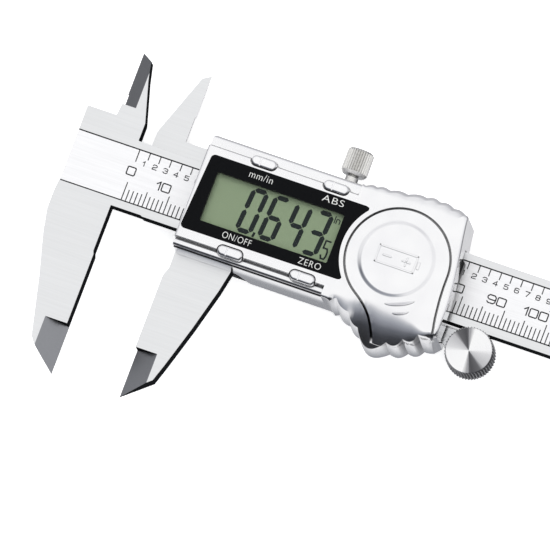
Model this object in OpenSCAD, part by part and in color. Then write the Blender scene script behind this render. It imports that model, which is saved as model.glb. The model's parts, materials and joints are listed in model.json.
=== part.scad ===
// Digital caliper, 150 mm, lying on its back with the jaws part open.
// X runs along the beam, Y towards the inside jaws, Z out of the display.
// The origin is on the fixed outside jaw's measuring face, half-way through the beam's thickness.

/* [Beam] */
// Distance between the outside jaws' measuring faces
opening = 16.345; // [1:0.005:150]
// Height of the beam
beam_h = 16; // [15.8:0.1:16.2]
// Thickness of the beam and of both outside jaws
beam_t = 4; // [3.8:0.1:4.2]
// Far end of the beam, measured from the zero face
beam_end = 223; // [222:1:235]
// Left end of the beam, measured from the zero face
beam_start = 13.25; // [12.5:0.05:14]
// Height of the printed scale strip
scale_h = 12.35; // [11:0.05:12.6]
// Depth of the recess that holds the scale strip
recess_d = 0.9; // [0.85:0.05:1]

/* [Jaws] */
// Reach of the outside jaws below the beam's edge
jaw_reach = 39.6; // [38:0.1:42]
// Height of the inside jaws' tips above the beam's lower edge
inside_top = 36; // [35:0.5:38]
// Length of the thin ground tip on each outside jaw
tip_len = 11.3; // [8:0.1:14]
// How far the inside jaws' knife edges lie behind the outside jaws' faces
inside_back = 6.3; // [6:0.1:6.6]

/* [Slider] */
// Length of the steel slider frame
frame_len = 57.45; // [57:0.05:58]
// Thickness of the frame's back wall
wall_t = 2.15; // [2:0.05:2.4]
// Thickness of the back plate that the caliper lies on
plate_t = 1; // [0.8:0.1:1.4]
// Width and thickness of the depth rod
rod_w = 3; // [2.6:0.1:3.2]
rod_t = 1.5; // [1.2:0.1:1.6]

/* [Housing] */
// Height of the housing's front face above the beam's middle plane
face_z = 9.5; // [9.3:0.1:10]
// Thickness of the housing's side walls
shell_t = 1.2; // [1:0.1:1.3]
// Height of each grip scallop
scallop_h = 0.5; // [0.3:0.05:0.7]
// Length and width of each button
button_l = 6; // [5:0.1:6.4]
button_w = 2.4; // [2:0.1:2.6]
// Radius of the round part of the battery cover
cover_r = 11.7; // [11.5:0.05:11.75]

/* [Lock screw and thumb roller] */
// Radius and length of the lock screw's knurled knob
knob_r = 3.05; // [2.6:0.05:3.5]
knob_l = 5.9; // [5:0.1:7]
// Radius and thickness of the thumb roller
roller_r = 5.6; // [5.4:0.05:5.6]
roller_t = 6; // [5:0.1:6.2]

/* [Hidden] */
$fn = 64;

// The beam's lower edge, above the origin
edge_y = 20;
half_t = beam_t / 2;
// Running gap between the slider and the beam
run_gap = 0.05;
eps = 0.01;

// Scale strip and its recess, measured from the beam's lower edge
scale_y = 1.95;
board_t = 0.65;
face_t = 0.2;
// Depth-rod groove in the beam's back
groove_d = 1.6;
groove_w = rod_w + 0.2;
groove_x = 38;
rod_y = beam_h / 2;
rod_root = 46;

// Ground tips: width of the bevel and thickness left at the measuring edge
tip_w = 5.2;
tip_edge = 0.3;
inside_bevel = 3.5;

// End stop on the beam's back
end_stop_t = 1;
end_stop_size = [7.3, 13.2];

// Slider frame, measured along X from the movable jaw's face
frame_x = 1.95;
frame_end = frame_x + frame_len;
frame_y = [-4.1, 20.3];
frame_front = half_t + 0.15;
frame_back = -half_t - run_gap;
wall_back = frame_back - wall_t;
plate_back = wall_back - plate_t;
gib_gap = 0.9;

// Housing heights
skirt_z = wall_back + 0.15;
strip_z = face_z - 1.8;
step_z = 4.8;
roof_z = face_z - 1.15;
strip_roof_z = 6.5;
strip_y = [-2.95, 19];
grip_x = 36.3;
grip_inset = 1.5;
hole_gap = 0.1;

// Main board, display and buttons
pcb_z = frame_front;
pcb_t = 0.8;
pcb_top = pcb_z + pcb_t;
bezel_t = 0.8;
lens_t = 0.7;
window = [[4.75, 2.05], [35.05, 13.7]];
lcd_z = 6.6;
lcd_t = 1.6;
lcd_margin = 1.5;
display_end = window[1][0] + lcd_margin + 0.3;
button_x = [13.85, 31.05];
button_y = [-2.75, 18.95];
button_top = face_z + 0.5;
button_travel = 0.4;
flange_z = 5.7;
flange_t = 0.7;

// Battery compartment
cell_c = [49.55, 8];
cell_r = 10;
cell_t = 3.2;
cell_z = 4.2;
well_r = 10.4;
cover_turn = 22.5;
cover_gap = 0.15;
cover_t = 1.1;
dome_r = 8.5;
dome_h = 0.35;

// Screws, as [x, y] from the movable jaw's face and the beam's lower edge
housing_screw_at = [[6, -2.1], [6, 18.4], [39.5, 18.6], [39.5, -2.1]];
plate_screw_at = [[10, -2.1], [10, 18.4], [54.5, 18.4], [46, -2.1]];
rod_screw_at = [[49, rod_y], [55, rod_y]];
gib_screw_x = [20, 43.5];
end_screw_at = [[219, 3.6], [219, 12.4]];

// Wipers: left faces of the two strips, their thickness and their top
wiper_x = [2.05, 62.2];
wiper_t = 1.2;
wiper_top = 4.2;

// Lock screw
lock_x = 31.85;
lock_r = 1.5;
knob_y = 24.5;
pad_y = beam_h + gib_gap + 0.05;
pad_t = 1.2;

// Thumb roller
roller_x = 71.5;
roller_gap = 0.1;
roller_y = -roller_r - roller_gap;
roller_back = 0.8;
bracket_t = 1.1;
bracket_front = roller_back - 0.2;
bracket_back = bracket_front - bracket_t;
axle_r = 1.5;
bracket_screw_x = [52.5, 56.5];

function lerp(a, b, t) = a + (b - a) * t;
function arc(c, r, from, to, n = 6) =
  [for (i = [0:n]) c + r * [cos(lerp(from, to, i / n)), sin(lerp(from, to, i / n))]];
// Rounded bumps along the chord from p to q, on the right-hand side of the way there
function scallops(p, q, bulge, n, high, steps = 6) =
  let (d = (q - p) / norm(q - p), out = [d[1], -d[0]])
  [for (i = [0:n * steps])
    let (t = i / (n * steps))
    lerp(p, q, t) + out * (bulge * sin(180 * t) + high * abs(sin(180 * n * t)))];

// Places geometry drawn from the zero face and the beam's lower edge
module on_beam() translate([0, edge_y, 0]) children();
// Places geometry drawn from the movable jaw's face and the beam's lower edge
module on_slider() translate([opening, edge_y, 0]) children();

module box(low, high) translate(low) cube(high - low);
module slab(z0, z1) translate([0, 0, z0]) linear_extrude(z1 - z0) children();
// A prism along Y whose section is drawn in X and Z
module prism_y(y0, y1, section)
  translate([0, y1, 0]) rotate([90, 0, 0]) linear_extrude(y1 - y0) polygon(section);
module rod_z(at, r, z0, z1) translate([at[0], at[1], z0]) cylinder(r = r, h = z1 - z0);
module rod_y_axis(at, r, y0, y1)
  translate([at[0], y1, at[1]]) rotate([90, 0, 0]) cylinder(r = r, h = y1 - y0);
module pill(l, w) {
  for (side = [-1, 1]) translate([side * (l - w) / 2, 0]) circle(d = w);
  square([l - w, w], center = true);
}
// A countersunk screw whose head is flush at head_z and points along -Z
module flush_screw(at, head_z, head_r, r, tip_z) {
  difference() {
    union() {
      translate([at[0], at[1], head_z]) cylinder(r1 = head_r, r2 = r, h = head_r - r);
      rod_z(at, r, head_z, tip_z);
    }
    for (a = [0, 90])
      translate([at[0], at[1], head_z + 0.2]) rotate(a) cube([head_r * 1.2, 0.35, 0.5], center = true);
  }
}
module flush_hole(at, head_z, head_r, r, tip_z) {
  translate([at[0], at[1], head_z - eps])
    cylinder(r1 = head_r + 0.05, r2 = r + 0.05, h = head_r - r + eps);
  rod_z(at, r + 0.02, head_z, tip_z + 0.2);
}

// Beam with its fixed outside and inside jaws
fixed_jaws = [
  [0, -jaw_reach], [-5.4, -jaw_reach + 4.6], [-6.5, -jaw_reach + 6], [-9.7, -20.3],
  [-12.5, -10.3], [-beam_start - 0.3, -5], [-beam_start - 0.3, -0.5], [-beam_start, 2.2],
  [-beam_start, 20], [-6.4, 20], [-6.05, 22.8], [-inside_back + 0.25, 25.7],
  [-inside_back, 25.9], [-inside_back, inside_top], [-3.4, inside_top - 1.9],
  [-2.4, 29.7], [0.4, 20.2], [0.4, beam_h], [beam_end, beam_h], [beam_end, 0],
  [7.2, 0], [6.8, 0.2], [-0.3, 0.2], [-0.3, -10.8], [0, -11.6]
];
module beam() color("gainsboro") on_beam() difference() {
  slab(-half_t, half_t) polygon(fixed_jaws);
  box([-beam_start - 1, scale_y - 0.05, half_t - recess_d], [beam_end + 1, scale_y + scale_h + 0.05, half_t + 1]);
  box([groove_x, rod_y - groove_w / 2, -half_t - 1], [beam_end + 1, rod_y + groove_w / 2, -half_t + groove_d]);
  prism_y(-jaw_reach - 1, -jaw_reach + tip_len, [
    [-tip_w, half_t], [-tip_w, half_t + 1], [2, half_t + 1], [2, -half_t + tip_edge], [0, -half_t + tip_edge]]);
  prism_y(22.8, inside_top + 1, [
    [-inside_back + inside_bevel, half_t], [-inside_back + inside_bevel, half_t + 1],
    [-inside_back - 2, half_t + 1], [-inside_back - 2, -half_t + 0.1], [-inside_back, -half_t + 0.1]]);
  for (at = end_screw_at) rod_z(at, 1.02, -half_t - 1, 0.2);
}

module scale_board() color("darkgreen") on_beam()
  box([-beam_start, scale_y, half_t - recess_d], [beam_end, scale_y + scale_h, half_t - recess_d + board_t]);

module scale_face() color("whitesmoke") on_beam()
  box([-beam_start, scale_y, half_t - recess_d + board_t],
    [beam_end, scale_y + scale_h, half_t - recess_d + board_t + face_t]);

module end_stop() color("silver") on_beam() difference() {
  slab(-half_t - end_stop_t, -half_t) translate([beam_end - end_stop_size[0] - 0.3, (beam_h - end_stop_size[1]) / 2])
    offset(0.8) offset(-0.8) square(end_stop_size);
  for (at = end_screw_at) flush_hole(at, -half_t - end_stop_t, 1.8, 1, -half_t + 1);
}
module end_stop_screws() color("dimgray") on_beam()
  for (at = end_screw_at) flush_screw(at, -half_t - end_stop_t, 1.8, 1, 0);

// Steel slider: channel around the beam, movable outside jaw and movable inside jaw
outside_jaw = [
  [0, -jaw_reach], [6.35, -jaw_reach + 5.4], [7.7, -30], [10.55, -20.3], [13.15, -10.3],
  [14.1, -5.5], [14.1, -3], [frame_x, -3], [0.75, -4.2], [0.75, -9], [0.15, -10.6], [0, -11.4]
];
inside_jaw = [
  [-inside_back, inside_top], [-8.3, inside_top - 1.2], [-13.35, 20.5], [-13.5, 20], [-13.5, 14],
  [-10, 11], [frame_x + 1, 11], [frame_x + 1, 20], [-inside_back - 0.3, 20],
  [-inside_back - 0.3, 25.8], [-inside_back, 25.9]
];
module slider_frame() color("lightgray") on_slider() difference() {
  union() {
    box([frame_x, frame_y[0], wall_back], [frame_end, frame_y[1], frame_back]);
    box([frame_x, beam_h + gib_gap, frame_back - eps], [frame_end, frame_y[1], frame_front]);
    box([frame_x, frame_y[0], frame_back - eps], [frame_end, -run_gap, frame_front]);
    slab(-half_t, half_t) polygon(outside_jaw);
    slab(wall_back, frame_back) polygon(inside_jaw);
  }
  prism_y(-jaw_reach - 1, -jaw_reach + tip_len, [
    [tip_w, half_t], [tip_w, half_t + 1], [-2, half_t + 1], [-2, -half_t + tip_edge], [0, -half_t + tip_edge]]);
  prism_y(20.05, inside_top + 1, [
    [-inside_back, frame_back - 0.1], [-inside_back + 2, frame_back - 0.1],
    [-inside_back + 2, wall_back - 1], [-inside_back - 2.6, wall_back - 1], [-inside_back - 2.6, wall_back]]);
  box([bracket_screw_x[0] - 2.2, frame_y[0] - 1, bracket_back], [frame_end + 1, 0, frame_front + 1]);
  rod_y_axis([lock_x, 0], lock_r + 0.05, beam_h, frame_y[1] + 1);
  for (x = gib_screw_x) rod_y_axis([x, 0], 1.03, beam_h, frame_y[1] + 1);
  for (at = housing_screw_at) {
    rod_z(at, 1.05, wall_back - 1, frame_front + 1);
    rod_z(at, 1.95, wall_back - 1, wall_back + 1.3);
  }
  for (at = plate_screw_at) rod_z(at, 1.03, wall_back - 1, -0.2);
  for (at = rod_screw_at) flush_hole(at, wall_back, 1.5, 0.8, frame_back + 1);
  for (x = bracket_screw_x) rod_z([x, -2.2], 0.83, wall_back + 0.6, frame_front);
}

module gib_strip() color("darkgoldenrod") on_slider()
  box([frame_x + 1, beam_h + run_gap, -half_t + 0.1], [frame_end - 0.5, beam_h + gib_gap - 0.05, half_t - 0.1]);
module gib_screws() color("dimgray") on_slider() for (x = gib_screw_x) difference() {
  rod_y_axis([x, 0], 1, beam_h + gib_gap - 0.04, 19.4);
  translate([x, 19.3, 0]) cube([2.4, 0.8, 0.4], center = true);
}

module plate_outline() translate([1.3, -4.9]) offset(1.2) offset(-1.2) square([59.2, 25.9]);
module back_plate() color("silver") on_slider() difference() {
  slab(plate_back, wall_back) plate_outline();
  for (at = plate_screw_at) flush_hole(at, plate_back, 1.9, 1, wall_back + 0.5);
}
module back_plate_screws() color("dimgray") on_slider()
  for (at = plate_screw_at) flush_screw(at, plate_back, 1.9, 1, -0.4);

// The rod's tip is level with the beam's end when the jaws are shut
module depth_rod() color("silver") on_slider() difference() {
  box([rod_root, rod_y - rod_w / 2, -half_t + 0.05], [beam_end, rod_y + rod_w / 2, -half_t + 0.05 + rod_t]);
  box([beam_end - 4, rod_y - rod_w, -half_t + 0.65], [beam_end + 1, rod_y - 0.4, -half_t + 3]);
  for (at = rod_screw_at) rod_z(at, 0.82, -half_t - 1, -half_t + 1.3);
}
module depth_rod_screws() color("dimgray") on_slider()
  for (at = rod_screw_at) flush_screw(at, wall_back, 1.5, 0.8, -half_t + 1.1);

// Housing outline, with the lower grip drawn in by the given inset
function housing_outline(inset) = concat(
  arc([1.65, -4.4], 1, 180, 270),
  [[37.6, -5.4], [42.6, -7.2 + inset * 0.7], [46.3, -10.6 + inset]],
  arc([48.2, -10.4 + inset], 1.7, 215, 270),
  scallops([49.2, -12 + inset], [63, -5.1 + inset * 0.6], 0.3, 4, scallop_h),
  [[63.85, -4.3 + inset * 0.4], [63.85, 1.3], [63.25, 8], [61.7, 17.3]],
  arc([60.1, 21.5], 1, 10, 70),
  scallops([60, 22.4], [grip_x, 21.6], 1.5, 6, scallop_h),
  arc([1.65, 20.6], 1, 90, 180)
);
// Battery cover outline: a disc that narrows into a tongue across the lower grip
cover_side = [[5, 10.5], [7.6, 9.1], [11.5, 7.6], [15, 7], [24, 6.8]];
module cover_outline(grow) translate(cell_c) {
  circle(r = cover_r + grow, $fn = 96);
  rotate(cover_turn) polygon(concat(
    [for (p = cover_side) [p[1] + grow, -p[0]]],
    [for (i = [len(cover_side) - 1:-1:0]) [-cover_side[i][1] - grow, -cover_side[i][0]]]));
}
module bezel_outline(grow) offset(delta = grow) offset(0.8) offset(-0.8) difference() {
  polygon([[1.25, -0.5], [39.5, -0.5], [39.5, 17.1], [2.25, 17.1]]);
  translate(cell_c) circle(r = 13, $fn = 96);
}
module window_area(grow)
  translate(window[0] - [grow, grow]) square(window[1] - window[0] + 2 * [grow, grow]);

module housing_walls() difference() {
  union() {
    slab(skirt_z, step_z) polygon(housing_outline(0));
    slab(step_z - eps, face_z - 0.8) polygon(housing_outline(grip_inset));
    slab(face_z - 0.8 - eps, face_z) offset(delta = -0.5) polygon(housing_outline(grip_inset));
  }
  for (y = [[-9, strip_y[0]], [strip_y[1], 25]])
    box([-1, y[0], strip_z], [grip_x - 1, y[1], face_z + 1]);
  slab(skirt_z - 1, step_z - shell_t) offset(delta = -shell_t) polygon(housing_outline(0));
  slab(skirt_z - 1, strip_roof_z) offset(delta = -shell_t) polygon(housing_outline(grip_inset));
  box([2, strip_y[0] + shell_t, 0], [display_end, strip_y[1] - shell_t, roof_z]);
}
module housing_holes() {
  // Ways through the end walls for the beam, and through the lower wall for the jaw
  box([-1, frame_y[0] + 0.4, skirt_z - 1], [2.5, frame_y[1], frame_front + 0.1]);
  box([58, -0.6, skirt_z - 1], [66, beam_h + 0.4, frame_front + 0.1]);
  box([58, -4.7, bracket_back - 0.3], [66, 0, frame_front + 0.1]);
  box([-1, -8, skirt_z - 1], [14.6, -3, half_t + 0.1]);
  slab(face_z - bezel_t, face_z + 1) bezel_outline(0.08);
  slab(0, face_z) window_area(0.9);
  for (x = button_x, y = button_y)
    translate([x, y]) slab(flange_z, face_z + 1) pill(button_l + 2 * hole_gap, button_w + 2 * hole_gap);
  rod_y_axis([lock_x, 0], 1.9, 19, 26);
  // Slot that holds the right-hand wiper in the end wall
  box([wiper_x[1] - 0.1, -0.2, 0], [wiper_x[1] + wiper_t + 1, beam_h + 0.2, wiper_top + 0.05]);
}
module housing() color("lightsteelblue") on_slider() difference() {
  union() {
    difference() {
      housing_walls();
      housing_holes();
    }
    rod_z(cell_c, well_r + 1.6, pcb_top + 0.15, strip_roof_z + eps);
    for (at = housing_screw_at) rod_z(at, 2, pcb_top, strip_roof_z + eps);
  }
  slab(face_z - cover_t, face_z + 1) cover_outline(cover_gap);
  rod_z(cell_c, well_r, 0, face_z);
  translate([cell_c[0], cell_c[1], face_z - cover_t - 0.9]) difference() {
    cylinder(r = 11.68, h = 1);
    cylinder(r = 10.72, h = 1);
  }
  for (at = housing_screw_at) rod_z(at, 0.96, 0, strip_roof_z - 0.3);
}
module housing_screws() color("dimgray") on_slider() for (at = housing_screw_at) difference() {
  union() {
    rod_z(at, 1.8, wall_back + 0.05, wall_back + 1.25);
    rod_z(at, 0.95, wall_back + 0.1, strip_roof_z - 0.6);
  }
  for (a = [0, 90])
    translate([at[0], at[1], wall_back + 0.2]) rotate(a) cube([2.2, 0.4, 0.6], center = true);
}

module bezel() color("black") on_slider() difference() {
  slab(face_z - bezel_t, face_z + 0.05) bezel_outline(0);
  slab(face_z - bezel_t - 1, face_z + 1) window_area(0);
}
module window_lens() color("lightcyan", 0.4) on_slider()
  slab(face_z - bezel_t, face_z - bezel_t + lens_t) window_area(-0.05);
module lcd_glass() color("darkseagreen") on_slider()
  slab(lcd_z, lcd_z + lcd_t) window_area(lcd_margin);
module lcd_frame() color("dimgray") on_slider() slab(pcb_top, lcd_z) difference() {
  window_area(lcd_margin - 0.1);
  window_area(0.6);
}
module zebra_strips() color("slategray") on_slider()
  for (y = [window[0][1] - 0.5, window[1][1] - 1.4])
    box([window[0][0], y, pcb_top], [window[1][0], y + 1.9, lcd_z]);

module main_board() color("seagreen") on_slider() difference() {
  slab(pcb_z, pcb_top) translate([frame_x + 1.6, frame_y[0] + 0.15]) square([frame_len - 2, 24]);
  for (at = housing_screw_at) rod_z(at, 1.15, 0, pcb_top + 1);
}
module board_chips() color("black") on_slider() {
  rod_z([20, 8], 3.4, pcb_top, pcb_top + 1);
  for (at = [[27.5, 5.5], [27.5, 8], [27.5, 10.5], [11, 10.5]])
    box([at[0], at[1], pcb_top], [at[0] + 1.6, at[1] + 0.8, pcb_top + 0.7]);
}
module crystal() color("silver") on_slider()
  translate([11, 6.4, pcb_top + 1]) rotate([0, 90, 0]) cylinder(r = 1, h = 5);
module tact_switches() color("dimgray") on_slider() for (x = button_x, y = button_y) {
  box([x - 2.3, y - 0.9, pcb_top], [x + 2.3, y + 0.9, pcb_top + 1.6]);
  rod_z([x, y], 0.7, pcb_top + 1.5, flange_z - button_travel - 0.05);
}

// A cap whose flange stays under the housing; it moves inwards by button_travel
module button_cap(x, y) color("whitesmoke") on_slider() translate([x, y]) {
  slab(flange_z, button_top) pill(button_l, button_w);
  slab(flange_z, flange_z + flange_t) pill(button_l + 0.9, button_w + 0.5);
}
module button_units() button_cap(button_x[0], button_y[1]);
module button_abs() button_cap(button_x[1], button_y[1]);
module button_power() button_cap(button_x[0], button_y[0]);
module button_zero() button_cap(button_x[1], button_y[0]);

module battery_cell() color("silver") on_slider() {
  rod_z(cell_c, cell_r - 1.1, cell_z, cell_z + 0.3);
  rod_z(cell_c, cell_r, cell_z + 0.25, cell_z + cell_t);
}
module contact_negative() color("gold") on_slider() {
  box([cell_c[0] - 5, cell_c[1] - 1.5, pcb_top], [cell_c[0] + 5, cell_c[1] + 1.5, pcb_top + 0.3]);
  box([cell_c[0] + 3, cell_c[1] - 1.5, pcb_top + 0.25], [cell_c[0] + 3.3, cell_c[1] + 1.5, cell_z]);
  box([cell_c[0] - 3, cell_c[1] - 1.5, pcb_top + 0.95], [cell_c[0] + 3.3, cell_c[1] + 1.5, cell_z]);
}
module contact_positive() color("gold") on_slider() for (side = [-1, 1])
  translate([cell_c[0], cell_c[1], 0]) rotate(90 + side * 35)
    box([cell_r + 0.05, -1, pcb_top], [cell_r + 0.3, 1, cell_z + 2.4]);
module cover_seal() color("black") on_slider()
  translate([cell_c[0], cell_c[1], face_z - cover_t - 0.47])
    rotate_extrude($fn = 96) translate([11.2, 0]) circle(r = 0.42, $fn = 32);

module battery_cover() color("gainsboro") on_slider() {
  intersection() {
    slab(face_z - cover_t + 0.03, face_z) cover_outline(0);
    slab(step_z, face_z) offset(delta = -0.55) polygon(housing_outline(grip_inset));
  }
  rod_z(cell_c, dome_r, face_z - eps, face_z + dome_h);
  difference() {
    rod_z(cell_c, well_r - 0.15, cell_z + cell_t + 0.15, face_z - cover_t + 0.04);
    rod_z(cell_c, well_r - 1.2, cell_z, face_z - cover_t + 0.02);
  }
}

// Felt wipers that ride on the beam's front face
module wiper(x) box([x, 0.2, half_t + 0.03], [x + wiper_t, beam_h - 0.2, wiper_top]);
module wiper_left() color("black") on_slider() wiper(wiper_x[0]);
module wiper_right() color("black") on_slider() wiper(wiper_x[1]);

module lock_pad() color("darkgoldenrod") on_slider() rod_y_axis([lock_x, 0], 1.4, pad_y, pad_y + pad_t);
module lock_screw() color("silver") on_slider() {
  rod_y_axis([lock_x, 0], lock_r, pad_y + pad_t, knob_y + 1);
  translate([lock_x, knob_y, 0]) rotate([-90, 0, 0]) rotate_extrude()
    polygon([[0, 0], [knob_r - 0.5, 0], [knob_r, 0.7], [knob_r, knob_l - 0.4], [knob_r - 0.4, knob_l], [0, knob_l]]);
}

module roller_wheel() color("silver") on_slider() translate([roller_x, roller_y, 0]) rotate_extrude()
  polygon([
    [0, roller_back - 2.7], [axle_r, roller_back - 2.7], [axle_r, roller_back - 2.3], [1.1, roller_back - 2.3],
    [1.1, roller_back - 1.7], [axle_r, roller_back - 1.7], [axle_r, roller_back], [roller_r - 0.3, roller_back],
    [roller_r, roller_back + 0.3], [roller_r, roller_back + roller_t - 0.3],
    [roller_r - 0.3, roller_back + roller_t], [0, roller_back + roller_t]]);
module roller_clip() color("dimgray") on_slider() translate([roller_x, roller_y, roller_back - 2.2]) difference() {
  cylinder(r = 2.8, h = 0.4);
  translate([0, 0, -1]) cylinder(r = 1.12, h = 3);
  translate([0, -1, -1]) cube([4, 2, 3]);
}
bracket_shape = [
  [bracket_screw_x[0] - 2, -3.9], [63, -3.9], [65.4, -5.8], [roller_x - 3.4, -9],
  [roller_x + 2.4, -9], [roller_x + 3.6, -7], [roller_x + 3.2, -1.4], [roller_x - 1, -0.8], [bracket_screw_x[0] - 2, -0.6]
];
module roller_bracket() color("gainsboro") on_slider() difference() {
  slab(bracket_back, bracket_front) polygon(bracket_shape);
  rod_z([roller_x, roller_y], axle_r + 0.05, bracket_back - 1, bracket_front + 1);
  for (x = bracket_screw_x) rod_z([x, -2.2], 0.9, bracket_back - 1, bracket_front + 1);
}
module bracket_screws() color("dimgray") on_slider() for (x = bracket_screw_x) difference() {
  union() {
    rod_z([x, -2.2], 1.5, bracket_front, bracket_front + 0.9);
    rod_z([x, -2.2], 0.8, wall_back + 0.8, bracket_front + 0.1);
  }
  for (a = [0, 90]) translate([x, -2.2, bracket_front + 0.8]) rotate(a) cube([1.9, 0.35, 0.6], center = true);
}

beam();
scale_board();
scale_face();
end_stop();
end_stop_screws();
slider_frame();
gib_strip();
gib_screws();
back_plate();
back_plate_screws();
depth_rod();
depth_rod_screws();
housing();
housing_screws();
bezel();
window_lens();
lcd_glass();
lcd_frame();
zebra_strips();
main_board();
board_chips();
crystal();
tact_switches();
battery_cell();
contact_positive();
contact_negative();
cover_seal();
wiper_left();
wiper_right();
battery_cover();
button_units();
button_abs();
button_power();
button_zero();
lock_pad();
lock_screw();
roller_wheel();
roller_clip();
roller_bracket();
bracket_screws();
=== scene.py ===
# %% [markdown]
# # Digital caliper, 150 mm
# A digital caliper is a ground steel beam with a fixed jaw, and a slider with the other jaw that carries a
# display housing. The steel parts come from the CAD frame as they are and only get softened edges and a
# finish. The plated housing, the battery cover, the buttons, the knurled screw and the thumb roller are
# built here as meshes, because their rounded, moulded forms are what mesh work is good at.

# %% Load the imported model
import json
import math

import bmesh
import bpy
from mathutils import Matrix, Vector


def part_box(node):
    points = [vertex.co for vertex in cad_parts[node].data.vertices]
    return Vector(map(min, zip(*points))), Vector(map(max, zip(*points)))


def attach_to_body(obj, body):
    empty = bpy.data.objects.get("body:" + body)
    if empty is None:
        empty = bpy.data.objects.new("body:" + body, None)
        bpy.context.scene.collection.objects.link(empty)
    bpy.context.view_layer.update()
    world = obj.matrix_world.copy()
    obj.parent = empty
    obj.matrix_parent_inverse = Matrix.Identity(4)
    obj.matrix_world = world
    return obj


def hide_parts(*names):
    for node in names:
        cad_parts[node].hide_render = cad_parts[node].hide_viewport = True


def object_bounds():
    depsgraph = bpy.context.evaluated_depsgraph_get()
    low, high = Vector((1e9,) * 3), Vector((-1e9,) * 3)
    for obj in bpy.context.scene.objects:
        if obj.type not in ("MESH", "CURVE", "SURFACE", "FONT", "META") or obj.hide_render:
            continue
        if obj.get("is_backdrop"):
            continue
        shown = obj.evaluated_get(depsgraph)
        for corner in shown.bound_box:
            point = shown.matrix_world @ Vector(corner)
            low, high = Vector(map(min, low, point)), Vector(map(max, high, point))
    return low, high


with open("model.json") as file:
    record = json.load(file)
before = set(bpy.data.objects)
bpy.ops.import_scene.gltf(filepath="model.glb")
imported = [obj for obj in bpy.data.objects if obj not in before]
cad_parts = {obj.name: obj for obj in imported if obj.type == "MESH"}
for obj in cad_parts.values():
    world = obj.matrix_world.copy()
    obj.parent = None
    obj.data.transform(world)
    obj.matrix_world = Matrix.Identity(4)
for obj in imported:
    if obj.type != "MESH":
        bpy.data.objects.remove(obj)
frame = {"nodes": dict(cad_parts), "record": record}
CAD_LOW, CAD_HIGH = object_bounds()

# %% [markdown]
# ## Places
# Everything is drawn in millimetres from one of two origins, as a draughtsman would do it: the beam's
# origin is the zero face at the beam's lower edge, and the slider's origin is the movable jaw's face at the
# same height. Both are read from the frame, so the pieces follow the CAD model if it changes.

# %% Origins of the beam and of the slider
MM = 0.001
BEAM_HEIGHT = 16.0
mounts = {mount["name"]: Vector(mount["pos_m"]) / MM for mount in frame["record"]["mounts"]}
wiper_low, wiper_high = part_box("wiper_left")
EDGE_Y = (wiper_low.y + wiper_high.y) / 2 / MM - BEAM_HEIGHT / 2
ON_BEAM = Vector((0, EDGE_Y, 0))
ON_SLIDER = Vector((mounts["movable_jaw_face"].x, EDGE_Y, 0))
FACE_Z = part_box("housing")[1].z / MM
print("jaws open by", round(ON_SLIDER.x, 3), "mm, housing face at", round(FACE_Z, 2), "mm")

# %% [markdown]
# ## Colours and nodes
# Every colour is written as the sRGB hex value that a colour picker shows, and one function turns it into
# the linear numbers that Blender calculates with. A second function adds a node with its settings and its
# links, so that a material reads as a short list of nodes.

# %% Helpers for colours and nodes
def linear(code):
    """An sRGB hex colour as linear RGBA."""
    channels = [int(code[i:i + 2], 16) / 255 for i in (1, 3, 5)]
    return [c / 12.92 if c <= 0.04045 else ((c + 0.055) / 1.055) ** 2.4 for c in channels] + [1.0]


def socket_of(node, key):
    """The input with this name or number. Nodes with several data types hide the ones not in use."""
    if isinstance(key, int):
        return node.inputs[key]
    return next(socket for socket in node.inputs if socket.name == key and socket.enabled)


def add(tree, kind, inputs=None, **settings):
    """Adds one node, sets its properties, and sets or links its inputs."""
    node = tree.nodes.new(kind)
    for name, value in settings.items():
        setattr(node, name, value)
    for key, value in (inputs or {}).items():
        if isinstance(value, bpy.types.NodeSocket):
            tree.links.new(value, socket_of(node, key))
        else:
            socket_of(node, key).default_value = value
    return node


def set_ramp(node, stops):
    """Fills a colour ramp with (position, hex colour) stops."""
    ramp = node.color_ramp
    while len(ramp.elements) < len(stops):
        ramp.elements.new(0.5)
    for element, (position, code) in zip(ramp.elements, stops):
        element.position = position
        element.color = linear(code)


def empty_material(name):
    """A new material with no nodes yet, and its node tree."""
    material = bpy.data.materials.new(name)
    material.use_nodes = True
    material.node_tree.nodes.clear()
    return material, material.node_tree


print("mid grey is", round(linear("#808080")[0], 3), "in linear numbers")

# %% [markdown]
# ## The room
# Polished metal shows its surroundings more than its own colour, so the surroundings are the real material
# here. A broad white ceiling falls off to grey at the sides, and in front it ends at a band that is almost
# black and stands just over the table. Flat faces that look up turn white, rounded edges run through grey,
# and the thin side walls stay dark, which draws the outline. Two white cards and one dark curtain stand
# round the table, as in a product studio, to shape the reflections in the rounded grip.

# %% Ceiling, walls, cards and curtain
world = bpy.data.worlds.new("softbox_room")
world.use_nodes = True
sky = world.node_tree
sky.nodes.clear()
coordinates = add(sky, "ShaderNodeTexCoord")
axes = add(sky, "ShaderNodeSeparateXYZ", {"Vector": coordinates.outputs["Generated"]})
height = add(sky, "ShaderNodeMapRange", {"Value": axes.outputs["Z"], "From Min": -1.0, "From Max": 1.0})
# Both ramps run from straight down at 0 to straight up at 1
# In front the white ceiling ends early and a black flag hangs down to the table's edge
FRONT_WALL = [
    (0.0, "#55575E"), (0.015, "#6E7077"), (0.028, "#B8BABE"), (0.042, "#E6E6E8"), (0.07, "#F4F4F5"),
    (0.16, "#E0E0E2"), (0.27, "#8A8A8E"), (0.36, "#2E2F33"), (0.5, "#18191C"), (0.64, "#2C2E34"),
    (0.76, "#5E6169"), (0.86, "#93969E"), (0.91, "#ACAFB5"), (0.945, "#CDCED2"), (0.972, "#F2F2F3"),
    (0.985, "#FFFFFF")]
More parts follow.
